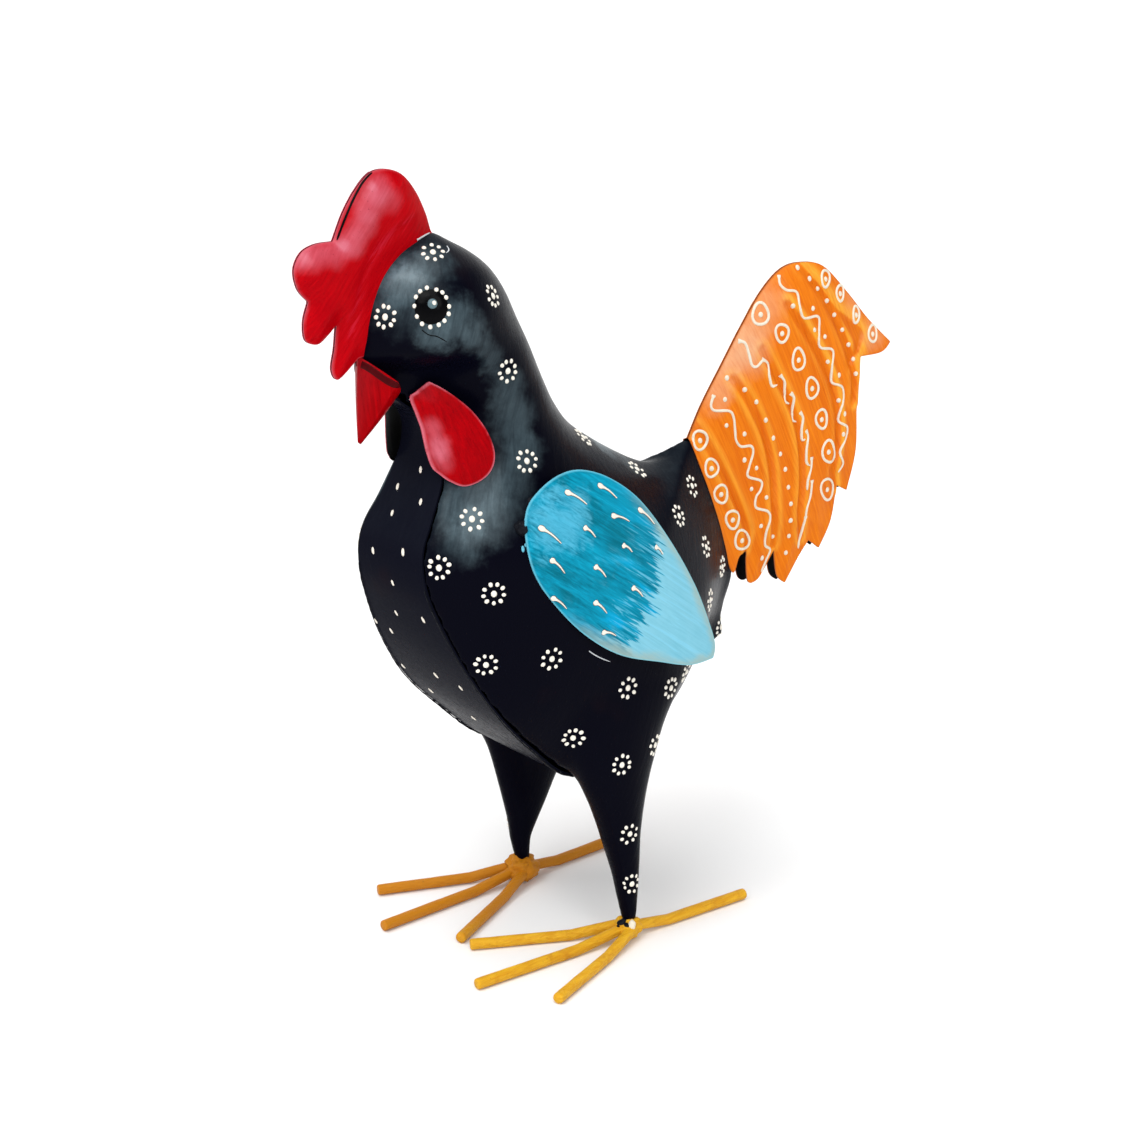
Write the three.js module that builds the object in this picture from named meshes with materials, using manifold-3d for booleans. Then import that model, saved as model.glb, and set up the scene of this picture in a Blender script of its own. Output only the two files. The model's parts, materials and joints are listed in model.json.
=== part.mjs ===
// Sheet-metal rooster: two pressed side shells with rolled legs, a flat breast strip
// between them, and a comb, beak, wattles, wings and tail of dished sheet, on rod feet.
// Millimetres, +Z up, the beak towards -X and the bird's left side towards -Y.
import * as THREE from 'three';
import { mergeVertices } from 'three/addons/utils/BufferGeometryUtils.js';
import Module from 'manifold-3d';

// Sheet and clearance
const SHEET = 1;
const GAP = 0.3;
const OVERREACH = 3;

// Body widths, each from the middle plane to one side
const HEAD_HALF_WIDTH = 35.5;
const NECK_HALF_WIDTH = 31.5;
const BODY_HALF_WIDTH = 63;
const STRIP_HALF_WIDTH = 42.5;
const TAIL_ROOT_HALF_WIDTH = 5;
const SEAM_HALF_GAP = 0.4;
const FRONT_ROUNDNESS = 1.18;
const THROAT_ROUNDNESS = 0.45;
const NECK_ROUNDNESS = 1.25;

// Legs
const LEG_SPREAD = 46.8;
const ANKLE_RADIUS = 4;
const SHIN_RADIUS = 7.4;
const CALF_RADIUS = 11;
const LEAN_FROM = 27;
const LEFT_LEAN = 0;
const RIGHT_LEAN = 0.55;
const LEAN_SHIFT = 1.12;

// Feet
const ROD = 6;
const ANKLE_RISE = 4;
const MIDDLE_TOE = 98;
const INNER_TOE_TIP = 4.49;
const OUTER_TOE = 80.5;
const REAR_TOE = 82;
const INNER_SPLAY = 24.5;
const OUTER_SPLAY = 24;
const TOE_PITCH = 4.5;
const TOE_IN = 2.6;
const KINK_SHARE = 0.34;
const WELD_RADIUS = 7.5;
const WELD_LUMP = 0.6;

// Fittings
const BEAK_HALF_WIDTH = 17;
const BEAK_DEPTH = 32;
const COMB_REACH = 66.6;
const COMB_PUFF = 5.5;
const COMB_RIM = 1.2;
const WATTLE_REACH = 54.3;
const WATTLE_FLARE = 0.07;
const WATTLE_SPREAD = 0.83;
const WATTLE_DISH = 4.5;
const WING_REACH = 135.2;
const WING_FLARE = 0.17;
const WING_SPREAD = 0.06;
const WING_DISH = 8;
const WING_WELD_RADIUS = 4.5;
const TAIL_REACH = 157.5;
const TAIL_HALF_DEPTH = 8;
const TAIL_RISE = 16;
const FEATHER_RELIEF = 0.7;

const wasm = await Module();
wasm.setup();

// Geometry helpers

// A closed geometry from points and faces, turned so that its faces point out.
function closedGeometry(points, faces) {
  let volume = 0;
  for (const [a, b, c] of faces) {
    volume += points[a].dot(new THREE.Vector3().crossVectors(points[b], points[c]));
  }
  const geometry = new THREE.BufferGeometry().setFromPoints(points);
  geometry.setIndex(faces.flatMap(([a, b, c]) => (volume > 0 ? [a, b, c] : [a, c, b])));
  return geometry;
}

// A solid between two grids of points, closed round its four edges.
function solidBetween(outer, inner) {
  const rows = outer.length;
  const columns = outer[0].length;
  const points = [...outer.flat(), ...inner.flat()];
  const under = rows * columns;
  const faces = [];
  const quad = (a, b, c, d) => faces.push([a, b, c], [a, c, d]);
  for (let i = 0; i < rows - 1; i++) {
    for (let j = 0; j < columns - 1; j++) {
      const a = i * columns + j;
      quad(a, a + columns, a + columns + 1, a + 1);
      quad(under + a, under + a + 1, under + a + columns + 1, under + a + columns);
    }
  }
  const wall = (a, b) => quad(a, b, under + b, under + a);
  for (let i = 0; i < rows - 1; i++) {
    wall((i + 1) * columns, i * columns);
    wall(i * columns + columns - 1, (i + 1) * columns + columns - 1);
  }
  for (let j = 0; j < columns - 1; j++) {
    wall(j, j + 1);
    wall((rows - 1) * columns + j + 1, (rows - 1) * columns + j);
  }
  return closedGeometry(points, faces);
}

// A solid through a row of rings, each a loop of the same number of points.
function loft(rings) {
  const count = rings[0].length;
  const points = rings.flat();
  const faces = [];
  for (let i = 0; i < rings.length - 1; i++) {
    for (let j = 0; j < count; j++) {
      const a = i * count + j;
      const b = i * count + ((j + 1) % count);
      faces.push([a, b, b + count], [a, b + count, a + count]);
    }
  }
  for (const [ring, first] of [[rings[0], 0], [rings.at(-1), (rings.length - 1) * count]]) {
    const middle = ring.reduce((sum, p) => sum.add(p), new THREE.Vector3()).divideScalar(count);
    const tip = points.push(middle) - 1;
    for (let j = 0; j < count; j++) {
      const pair = [first + j, first + ((j + 1) % count)];
      faces.push(first === 0 ? [tip, pair[1], pair[0]] : [tip, pair[0], pair[1]]);
    }
  }
  return closedGeometry(points, faces);
}

function solidOf(geometry) {
  const bare = geometry.clone();
  bare.deleteAttribute('normal');
  bare.deleteAttribute('uv');
  const merged = mergeVertices(bare, 1e-4);
  const vertProperties = new Float32Array(merged.attributes.position.array);
  const triVerts = new Uint32Array(merged.index.array);
  return new wasm.Manifold(new wasm.Mesh({ numProp: 3, vertProperties, triVerts }));
}

function geometryOf(solid) {
  const mesh = solid.getMesh();
  const geometry = new THREE.BufferGeometry();
  geometry.setAttribute('position', new THREE.BufferAttribute(mesh.vertProperties, 3));
  geometry.setIndex(new THREE.BufferAttribute(mesh.triVerts, 1));
  geometry.computeVertexNormals();
  return geometry;
}

// The same piece on the bird's other side.
function mirrored(geometry) {
  const copy = geometry.clone();
  const positions = copy.attributes.position;
  for (let i = 0; i < positions.count; i++) positions.setY(i, -positions.getY(i));
  const index = copy.index.array;
  for (let i = 0; i < index.length; i += 3) [index[i + 1], index[i + 2]] = [index[i + 2], index[i + 1]];
  copy.computeVertexNormals();
  return copy;
}

// A grid of points on a surface, and the same grid moved along the surface's normal.
function gridOn(surface, rows, columns, offset = 0) {
  const step = 1e-3;
  const at = (u, v) => {
    const point = surface(u, v);
    if (offset === 0) return point;
    const uLow = Math.max(u - step, 0);
    const uHigh = Math.min(u + step, 1);
    const vLow = Math.max(v - step, 0);
    const vHigh = Math.min(v + step, 1);
    const along = surface(uHigh, v).sub(surface(uLow, v));
    const across = surface(u, vHigh).sub(surface(u, vLow));
    return point.addScaledVector(along.cross(across).normalize(), offset);
  };
  return Array.from({ length: rows + 1 }, (_, i) =>
    Array.from({ length: columns + 1 }, (_, j) => at(i / rows, j / columns)));
}

// A smooth run through [x, z] points, and an outline made of such runs.
function run(points, steps = 4) {
  const curve = new THREE.SplineCurve(points.map(([x, z]) => new THREE.Vector2(x, z)));
  return curve.getPoints(steps * (points.length - 1));
}
function outline(...runs) {
  const points = runs.flat();
  return points.filter((p, i) => p.distanceTo(points.at(i - 1)) > 0.05);
}

// The outline's prism across the bird's left half, to cut a dished sheet out of a slab.
function prism(points) {
  const shape = new THREE.Shape(points);
  const depth = 2 * BODY_HALF_WIDTH;
  const geometry = new THREE.ExtrudeGeometry(shape, { depth, bevelEnabled: false });
  return geometry.rotateX(Math.PI / 2).translate(0, 1, 0);
}

// Lines drawn round a root, scaled so that they reach as far from it as asked.
function fitted(root, reach, ...lines) {
  const origin = new THREE.Vector2(...root);
  const drawn = Math.max(...lines.flat().map((p) => p.distanceTo(origin)));
  const resized = (p) => p.clone().sub(origin).multiplyScalar(reach / drawn).add(origin);
  return lines.map((line) => line.map(resized));
}

// How far a point lies from an open or closed line of points.
function distanceTo(points, x, z) {
  let least = Infinity;
  const p = new THREE.Vector2(x, z);
  for (let i = 0; i < points.length - 1; i++) {
    const a = points[i];
    const edge = points[i + 1].clone().sub(a);
    const t = THREE.MathUtils.clamp(p.clone().sub(a).dot(edge) / edge.lengthSq(), 0, 1);
    least = Math.min(least, p.distanceTo(a.clone().addScaledVector(edge, t)));
  }
  return least;
}

// A dished sheet: depthAt(x, z) is the outer face's distance from the middle plane.
function dishedSheet(points, depthAt, columns, rows) {
  const box = new THREE.Box2().setFromPoints(points).expandByScalar(1.5);
  const surface = (offset) => Array.from({ length: rows + 1 }, (_, i) =>
    Array.from({ length: columns + 1 }, (_, j) => {
      const x = THREE.MathUtils.lerp(box.min.x, box.max.x, j / columns);
      const z = THREE.MathUtils.lerp(box.min.y, box.max.y, i / rows);
      return new THREE.Vector3(x, -depthAt(x, z) + offset, z);
    }));
  const slab = solidOf(solidBetween(surface(0), surface(SHEET)));
  return slab.intersect(solidOf(prism(points)));
}

// Body side, from the crown to the rump. Each station joins a point of the front edge to
// one of the back edge: x and z of each, how far each edge lies from the middle plane,
// the widest half width between them, where along the station it comes, and how round
// the sheet is in front of it and behind it: 1 is an ellipse, less is pinched in.
function station(front, back, frontY, backY, wide, at, round) {
  return { front, back, frontY, backY, wide, at, round };
}
const strip = (share) => STRIP_HALF_WIDTH * share;
const head = (share) => HEAD_HALF_WIDTH * share;
const neck = (share) => NECK_HALF_WIDTH * share;
const body = (share) => BODY_HALF_WIDTH * share;
const seam = SEAM_HALF_GAP;
const root = TAIL_ROOT_HALF_WIDTH;
const plain = [FRONT_ROUNDNESS, NECK_ROUNDNESS];
const throat = [THROAT_ROUNDNESS, NECK_ROUNDNESS];
const belowThroat = [(THROAT_ROUNDNESS + FRONT_ROUNDNESS) / 2, NECK_ROUNDNESS];
const behind = (roundness) => [FRONT_ROUNDNESS, roundness];
const STATIONS = [
  station([-93, 388.8], [-86.5, 387.6], seam, seam, seam * 1.5, 0.5, plain),
  station([-101, 385.6], [-79, 383.2], seam, seam, head(0.29), 0.47, plain),
  station([-112, 379.6], [-67, 376.6], seam, seam, head(0.57), 0.45, plain),
  station([-122, 369], [-55, 367.4], seam, seam, head(0.82), 0.43, plain),
  station([-128.6, 354], [-45.8, 355], seam, seam, head(0.98), 0.42, plain),
  station([-131.8, 337], [-39.2, 342], seam, seam, head(1), 0.45, plain),
  station([-129, 322], [-32.8, 328.6], 2.5, seam, neck(1), 0.62, throat),
  station([-112, 309], [-27.2, 316], strip(0.18), seam, neck(0.97), 0.62, throat),
  station([-94.5, 299], [-21.8, 304], strip(0.24), seam, neck(1), 0.58, throat),
  station([-89.5, 287], [-15, 292], strip(0.34), seam, neck(1.08), 0.52, belowThroat),
  station([-94.5, 271], [-4.8, 279.8], strip(0.47), seam, body(0.635), 0.46, plain),
  station([-108, 251.5], [11.5, 268], strip(0.55), seam, body(0.745), 0.42, plain),
  station([-116, 236], [29.5, 257], strip(0.62), seam, body(0.86), 0.41, plain),
  station([-116.3, 218], [45.5, 249.2], strip(0.69), seam, body(0.94), 0.4, behind(1.2)),
  station([-110, 198], [58, 246.6], strip(0.78), seam, body(0.985), 0.4, behind(1)),
  station([-98, 172], [69, 249], strip(0.9), seam, body(1), 0.4, behind(0.85)),
  station([-80.5, 145], [78.2, 254.4], strip(1), 1.2, body(0.995), 0.4, behind(0.72)),
  station([-59.5, 122.5], [87, 236], strip(0.95), root, body(0.97), 0.39, behind(0.75)),
  station([-35, 101.5], [95, 217.5], strip(0.87), root, body(0.92), 0.37, behind(0.8)),
  station([-5, 93.5], [101, 203], strip(0.73), root, body(0.73), 0.33, behind(0.8)),
  station([26, 97], [107, 189], strip(0.6), root, body(0.42), 0.25, behind(0.8)),
  station([50, 110.5], [110.5, 173], strip(0.34), root, body(0.235), 0.16, behind(0.8)),
  station([66, 126], [106.5, 160.5], strip(0.25), root * 0.8, body(0.17), 0.16, behind(0.9)),
  station([84, 137], [104.5, 149], strip(0.16), root * 0.6, body(0.11), 0.3, behind(1)),
  station([98, 134.5], [107, 138.5], strip(0.08), root * 0.5, body(0.06), 0.5, behind(1.2)),
];
const throughStations = (pick) => {
  const points = STATIONS.map((s) => new THREE.Vector3(...pick(s)));
  const curve = new THREE.CatmullRomCurve3(points, false, 'catmullrom', 0.5);
  return (s) => curve.getPoint(THREE.MathUtils.clamp(s, 0, 1));
};
const frontEdge = throughStations((s) => [s.front[0], -s.frontY, s.front[1]]);
const backEdge = throughStations((s) => [s.back[0], -s.backY, s.back[1]]);
const widths = throughStations((s) => [s.wide, s.at, 0]);
const rounds = throughStations((s) => [s.round[0], s.round[1], 0]);

// The body's side: each station bulges from its chord's ends to its widest place.
function flank(s, v) {
  const u = (1 - Math.cos(Math.PI * v)) / 2;
  const front = frontEdge(s);
  const back = backEdge(s);
  const [wide, at] = widths(s);
  const round = rounds(s);
  const forward = u < at;
  const reach = forward ? 1 - u / at : (u - at) / (1 - at);
  const edge = forward ? -front.y : -back.y;
  const swell = (1 - reach ** 2) ** (1 / (forward ? round.x : round.y));
  const point = front.clone().lerp(back, u);
  point.y = -edge - (Math.max(wide, seam) - edge) * swell;
  return point;
}
function chord(s, v) {
  return frontEdge(s).lerp(backEdge(s), (1 - Math.cos(Math.PI * v)) / 2);
}
const BODY_ROWS = 32;
const BODY_COLUMNS = 10;
const bodySkin = () => solidOf(solidBetween(
  gridOn(flank, BODY_ROWS, BODY_COLUMNS),
  gridOn(flank, BODY_ROWS, BODY_COLUMNS, -SHEET),
));
const bodyVolume = (offset, innerSide) => solidOf(solidBetween(
  gridOn(flank, BODY_ROWS, BODY_COLUMNS, offset),
  gridOn(innerSide, BODY_ROWS, BODY_COLUMNS),
));
const middlePlane = (s, v) => chord(s, v).setY(GAP);
const clearBody = bodyVolume(GAP, middlePlane);
const EVERYTHING = 1000;
const otherHalf = solidOf(new THREE.BoxGeometry(EVERYTHING, EVERYTHING, EVERYTHING)
  .translate(0, (EVERYTHING - GAP) / 2, 0));

// How far the body's side stands from the middle plane at a place seen from the side.
const samples = gridOn(flank, BODY_ROWS * 5, BODY_COLUMNS * 8).flat();
function flankDepth(x, z) {
  let best = samples[0];
  let least = Infinity;
  for (const point of samples) {
    const away = (point.x - x) ** 2 + (point.z - z) ** 2;
    if (away < least) {
      least = away;
      best = point;
    }
  }
  return least < OVERREACH ** 2 ? -best.y : 0;
}

// Legs: rolled cones that flare into the body's side.
const ANKLE_HEIGHT = ROD / 2 + ANKLE_RISE;
const LEG_FOOT = ANKLE_HEIGHT + ROD / 2 + GAP;
const LEG_SIDES = 16;
const LEG_STATIONS = [
  { z: LEG_FOOT, x: 1.3, across: ANKLE_RADIUS, along: ANKLE_RADIUS },
  { z: 24, x: -0.2, across: (ANKLE_RADIUS + SHIN_RADIUS) / 2, along: (ANKLE_RADIUS + SHIN_RADIUS) / 2 },
  { z: 38, x: -1.6, across: SHIN_RADIUS, along: SHIN_RADIUS },
  { z: 50, x: -3.4, across: (SHIN_RADIUS + CALF_RADIUS) * 0.49, along: (SHIN_RADIUS + CALF_RADIUS) * 0.51 },
  { z: 61, x: -5.3, across: CALF_RADIUS * 0.93, along: CALF_RADIUS * 1.03 },
  { z: 72, x: -6.6, across: CALF_RADIUS * 1.04, along: CALF_RADIUS * 1.25 },
  { z: 84, x: -8, across: CALF_RADIUS * 1.14, along: CALF_RADIUS * 1.56 },
  { z: 96, x: -9.4, across: CALF_RADIUS * 1.23, along: CALF_RADIUS * 1.98 },
  { z: 109, x: -9.6, across: CALF_RADIUS * 1.32, along: CALF_RADIUS * 2.45 },
  { z: 122, x: -9, across: CALF_RADIUS * 1.36, along: CALF_RADIUS * 2.85 },
  { z: 136, x: -6.5, across: CALF_RADIUS * 1.32, along: CALF_RADIUS * 3.4 },
  { z: 150, x: -3, across: CALF_RADIUS * 1.2, along: CALF_RADIUS * 4 },
];
function legSolid(inset, drop, lean) {
  const top = LEG_STATIONS.at(-1).z;
  const rings = LEG_STATIONS.map(({ z, x, across, along }, i) => {
    const extra = (lean * Math.max(0, Math.min(z - LEAN_FROM, top - z))) / 2;
    return Array.from({ length: LEG_SIDES }, (_, k) => {
      const angle = (2 * Math.PI * k) / LEG_SIDES;
      return new THREE.Vector3(
        x + extra * LEAN_SHIFT + (along + extra * (2 - LEAN_SHIFT) - inset) * Math.cos(angle),
        -LEG_SPREAD + (across - inset) * Math.sin(angle),
        z - (i === 0 ? drop : 0),
      );
    });
  });
  return solidOf(loft(rings));
}
// One shell: the pressed side with the leg's cone let into it, both hollow and joined.
function sideShell(lean) {
  const legHollow = legSolid(SHEET, OVERREACH, lean);
  const legTube = legSolid(0, 0, lean).subtract(legHollow);
  const legOutside = legTube.subtract(bodyVolume(-SHEET, middlePlane));
  return bodySkin().subtract(legHollow).add(legOutside).subtract(otherHalf);
}

// Breast strip: flat across, closed between the two shells from the throat to the rump.
const STRIP_FROM = 7 / (STATIONS.length - 1);
const STRIP_TO = 22.6 / (STATIONS.length - 1);
const STRIP_ROWS = 28;
const STRIP_COLUMNS = 2;
const STRIP_SET_IN = 0.4;
const PINCHED_TUCK = 1.35;
const ROUND_TUCK = 0.75;
const stripSurface = (margin) => (s, v) => {
  const place = THREE.MathUtils.lerp(STRIP_FROM, STRIP_TO, s);
  const edge = frontEdge(place);
  const [round] = rounds(place);
  const share = (round - THROAT_ROUNDNESS) / (FRONT_ROUNDNESS - THROAT_ROUNDNESS);
  const tuck = THREE.MathUtils.lerp(PINCHED_TUCK, ROUND_TUCK, share);
  const half = -edge.y - SHEET * tuck - GAP + margin;
  edge.y = THREE.MathUtils.lerp(half, -half, v);
  return edge;
};
const stripBetween = (margin, outer, inner) => solidBetween(
  gridOn(stripSurface(margin), STRIP_ROWS, STRIP_COLUMNS, -outer),
  gridOn(stripSurface(margin), STRIP_ROWS, STRIP_COLUMNS, -inner),
);
const breastStrip = stripBetween(0, STRIP_SET_IN, STRIP_SET_IN + SHEET);
const clearStrip = solidOf(stripBetween(GAP, STRIP_SET_IN - GAP, STRIP_SET_IN + SHEET + GAP));
const clearBothSides = clearBody.add(solidOf(mirrored(geometryOf(clearBody))));

// Beak: a folded cone of sheet, open where it meets the head.
const BEAK_TIP = [-133, 289.8];
const BEAK_CROWN = [-132.5, 333];
const BEAK_RIDGE = 1.6;
const BEAK_SIDES = 16;
const BEAK_RINGS = 7;
const BEAK_TIP_SIZE = 0.07;
const BEAK_HOLLOW_TIP_SIZE = 0.02;
const BEAK_TIP_SOLID = 4;
const ridged = (c) => Math.sign(c) * Math.abs(c) ** BEAK_RIDGE;
function beakSolid(inset, tipSize) {
  const crown = new THREE.Vector3(BEAK_CROWN[0], 0, BEAK_CROWN[1]);
  const lean = new THREE.Vector3(-1, 0, 1).normalize();
  const base = crown.clone().addScaledVector(lean, -BEAK_DEPTH / 2);
  const tip = new THREE.Vector3(BEAK_TIP[0], 0, BEAK_TIP[1] + inset * BEAK_TIP_SOLID);
  return solidOf(loft(Array.from({ length: BEAK_RINGS + 1 }, (_, i) => {
    const t = i / BEAK_RINGS;
    const size = THREE.MathUtils.lerp(1, tipSize, t);
    const middle = base.clone().lerp(tip, t);
    return Array.from({ length: BEAK_SIDES }, (_, k) => {
      const angle = (2 * Math.PI * k) / BEAK_SIDES;
      const forth = ridged(Math.cos(angle));
      const side = ridged(Math.sin(angle));
      const point = middle.clone().addScaledVector(lean, (BEAK_DEPTH / 2 - inset) * size * forth);
      point.y += (BEAK_HALF_WIDTH - inset) * size * side;
      return point;
    });
  })));
}
const beak = beakSolid(0, BEAK_TIP_SIZE)
  .subtract(beakSolid(SHEET, BEAK_HOLLOW_TIP_SIZE))
  .subtract(clearBothSides)
  .subtract(clearBothSides.translate(-3 * GAP, 0, 0))
  .subtract(clearStrip);

// Comb halves: puffed lobes, closed round their free edge and open towards the head.
const COMB_ROOT = [-110, 355];
const combEdge = outline(
  run([[-86, 379], [-86.8, 384.6], [-89.2, 389.1], [-92, 397.7], [-97.6, 408.7], [-105, 417.2],
    [-113.5, 420.7], [-122.7, 420.1], [-131, 413.5], [-138.8, 403.1], [-145.2, 390]]),
  run([[-145.2, 390], [-155.2, 389.8], [-163, 386.7], [-167.2, 379.1], [-165.4, 369.7], [-159.8, 363.1]]),
  run([[-159.8, 363.1], [-162.8, 354.2], [-162.1, 345], [-155.8, 342.2], [-150.3, 345.2], [-144.6, 350.2]]),
  run([[-144.6, 350.2], [-146.1, 338.5], [-148, 329.3], [-146, 323.8], [-142.3, 324.5], [-132.9, 332]]),
);
const combBase = run([[-132.9, 332], [-125, 336], [-119, 356], [-107, 371], [-95, 378], [-86, 379]], 2);
const [COMB_EDGE, COMB_BASE] = fitted(COMB_ROOT, COMB_REACH, combEdge, combBase);
const COMB_CLOSING = 13;
const COMB_FOLD = 16;
const COMB_DIP = 0.5;
const HEAD_FRONT = run([[-132.5, 332], [-131, 345], [-126.9, 359.5], [-119.6, 371.1],
  [-107.7, 381], [-88.7, 388]], 2);
const combDepth = (x, z) => {
  const share = Math.min(distanceTo(COMB_EDGE, x, z) / COMB_CLOSING, 1);
  const nearHead = Math.exp(-((distanceTo(HEAD_FRONT, x, z) / COMB_FOLD) ** 2));
  return COMB_RIM + COMB_PUFF * Math.sin((share * Math.PI) / 2) * (1 - COMB_DIP * nearHead);
};
const combHalf = dishedSheet(outline(COMB_EDGE, COMB_BASE), combDepth, 13, 15)
  .subtract(clearBody).subtract(beakSolid(-GAP, BEAK_TIP_SIZE));

// Moves a dished sheet sideways until it just meets the body's side.
function seatedDepth(points, depthAt) {
  let lift = -Infinity;
  for (const point of points) {
    lift = Math.max(lift, flankDepth(point.x, point.y) - (depthAt(point.x, point.y) - SHEET));
  }
  return (x, z) => depthAt(x, z) + lift;
}
const dome = (points, radius) => (x, z) => {
  const share = Math.min(distanceTo(points, x, z) / radius, 1);
  return Math.sin((share * Math.PI) / 2);
};

// Wattles: dished drops that hang from the corners of the beak.
const WATTLE_HINGE = [-105.1, 320];
const wattleEdge = outline(run([
  [-103.2, 319.2], [-98.3, 315.9], [-93, 311], [-87.6, 304.6], [-82.8, 295.5],
  [-80.2, 285.1], [-81.3, 276.6], [-85.7, 270.4], [-92.2, 267.3], [-97.7, 269.8],
  [-101.3, 273.3], [-103.8, 276.5], [-105.5, 283.5], [-106.4, 289.9], [-107.2, 296.4],
  [-108.9, 303.6], [-110.6, 311.3], [-108.1, 314.1], [-103.2, 319.2]], 2));
const [WATTLE_EDGE] = fitted(WATTLE_HINGE, WATTLE_REACH, wattleEdge);
const WATTLE_RISE = 16;
const wattleDome = dome([...WATTLE_EDGE, WATTLE_EDGE[0]], WATTLE_RISE);
const wattleDepth = seatedDepth(WATTLE_EDGE, (x, z) =>
  WATTLE_SPREAD * x + WATTLE_FLARE * (WATTLE_HINGE[1] - z) + WATTLE_DISH * wattleDome(x, z));
const wattle = dishedSheet(WATTLE_EDGE, wattleDepth, 9, 10).subtract(clearBody);

// Wings: dished leaves, welded at the shoulder.
const WING_SHOULDER = [-72, 247];
const wingEdge = outline(
  run([[32.9, 161.7], [17.8, 161.2], [-0.9, 166.7], [-25.2, 175.3], [-45, 189.5], [-60.9, 207.7],
    [-70.7, 224.5], [-73.6, 242.4], [-71.1, 256.7], [-62.3, 264.9], [-49.7, 270.3], [-36.4, 270.6],
    [-20.1, 263.9], [-3.2, 250], [12.9, 226.8], [25.9, 201.2], [33, 179], [35, 168.1], [32.9, 161.7]], 2),
);
const [WING_EDGE] = fitted(WING_SHOULDER, WING_REACH, wingEdge);
const WING_RISE = 34;
const wingDome = dome([...WING_EDGE, WING_EDGE[0]], WING_RISE);
const wingDepth = seatedDepth(WING_EDGE, (x, z) =>
  WING_SPREAD * x + WING_FLARE * (WING_SHOULDER[1] - z) + WING_DISH * wingDome(x, z));
const wing = dishedSheet(WING_EDGE, wingDepth, 12, 11).subtract(clearBody);

// Tail halves: closed along the leading edge, open behind, each with its feathers.
const TAIL_ROOT = [92, 215];
const tailLeading = run([[78.6, 254.5], [88.5, 272.3], [102.5, 292.2], [116.6, 312], [130.6, 329.2],
  [144.6, 339.6], [158.9, 341.6], [176.5, 337.3], [196.2, 320], [213, 302.9], [232.4, 286.3]]);
const tailLobes = outline(
  run([[232.4, 286.3], [221.8, 282.3], [202.4, 283.1]]),
  run([[202.4, 283.1], [200.5, 258.5], [201.3, 228.9], [195.3, 206.3]], 3),
  run([[195.3, 206.3], [187, 210.8]]),
  run([[187, 210.8], [183.3, 190.7], [174.4, 175.7]], 3),
  run([[174.4, 175.7], [166.2, 182.1]]),
  run([[166.2, 182.1], [158.8, 174.2], [148.4, 160.2]], 3),
  run([[148.4, 160.2], [141.9, 166.3], [139, 181.7]], 3),
  run([[139, 181.7], [128, 167.5], [121.3, 166.5], [119.2, 184.7]], 3),
);
const tailBase = run([[119.2, 184.7], [112.5, 183.7], [106.7, 175.6], [95, 207.5], [84.5, 235],
  [78.6, 254.5]], 2);
const [TAIL_LEADING, TAIL_LOBES, TAIL_BASE] =
  fitted(TAIL_ROOT, TAIL_REACH, tailLeading, tailLobes, tailBase);
const FEATHER_LEAN = 0.45;
const FEATHER_CREASES = [150, 190, 211, 237, 267, 311, 350];
function featherRelief(x, z) {
  const place = x * Math.cos(FEATHER_LEAN) + z * Math.sin(FEATHER_LEAN);
  const next = FEATHER_CREASES.findIndex((crease) => crease > place);
  if (next < 1) return 0;
  const [low, high] = [FEATHER_CREASES[next - 1], FEATHER_CREASES[next]];
  return FEATHER_RELIEF * Math.sin((Math.PI * (place - low)) / (high - low));
}
const tailDepth = (x, z) => {
  const closing = 1 - Math.exp(-distanceTo(TAIL_LEADING, x, z) / TAIL_RISE);
  return SEAM_HALF_GAP / 2 + SHEET + (TAIL_HALF_DEPTH - SHEET + featherRelief(x, z)) * closing;
};
const TAIL_EDGE = outline(TAIL_LEADING, TAIL_LOBES, TAIL_BASE);
const tailHalf = dishedSheet(TAIL_EDGE, tailDepth, 16, 14).subtract(clearBody);

// Feet: three toes forward and one back, of round rod, under each leg.
const ROD_SIDES = 10;
function toeSolid({ from, length, heading, aside }, extra = 0) {
  const kink = length * KINK_SHARE;
  const low = ROD / 2;
  const bevel = ROD / 5;
  const fall = (ANKLE_HEIGHT - low) / kink;
  const stops = [
    { along: from - extra, size: 0.7 },
    { along: from + bevel - extra, size: 1 },
    { along: kink, size: 1 },
    { along: kink + ROD, size: 1 },
    { along: length - bevel + extra, size: 1 },
    { along: length + extra, size: 0.65 },
  ];
  const heightAt = (along) => low + Math.max(kink - along, 0) * fall;
  const radius = (low + extra) / Math.cos(Math.PI / ROD_SIDES);
  return solidOf(loft(stops.map(({ along, size }) => {
    const slope = along < kink ? -fall : 0;
    const up = new THREE.Vector3(-slope, 0, 1).normalize();
    return Array.from({ length: ROD_SIDES }, (_, k) => {
      const angle = (2 * Math.PI * (k + 0.5)) / ROD_SIDES - Math.PI / 2;
      const point = new THREE.Vector3(along, radius * size * Math.cos(angle), heightAt(along));
      point.addScaledVector(up, radius * size * Math.sin(angle));
      point.applyAxisAngle(new THREE.Vector3(0, 0, 1), heading);
      return point.add(new THREE.Vector3(0, aside - LEG_SPREAD, 0));
    });
  })));
}
const degrees = THREE.MathUtils.degToRad;
const forward = degrees(180 - TOE_IN);
const innerToe = (LEG_SPREAD - TOE_PITCH - INNER_TOE_TIP) / Math.sin(degrees(TOE_IN + INNER_SPLAY));
const TOES = {
  middle: { from: 0.5, length: MIDDLE_TOE, heading: forward, aside: 0 },
  inner: { from: ROD / 2, length: innerToe, heading: forward - degrees(INNER_SPLAY), aside: TOE_PITCH },
  outer: { from: ROD / 2, length: OUTER_TOE, heading: forward + degrees(OUTER_SPLAY), aside: -TOE_PITCH },
  rear: { from: 0.5, length: REAR_TOE, heading: forward + Math.PI, aside: 0 },
};
const clearMiddle = toeSolid(TOES.middle, GAP);
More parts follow.
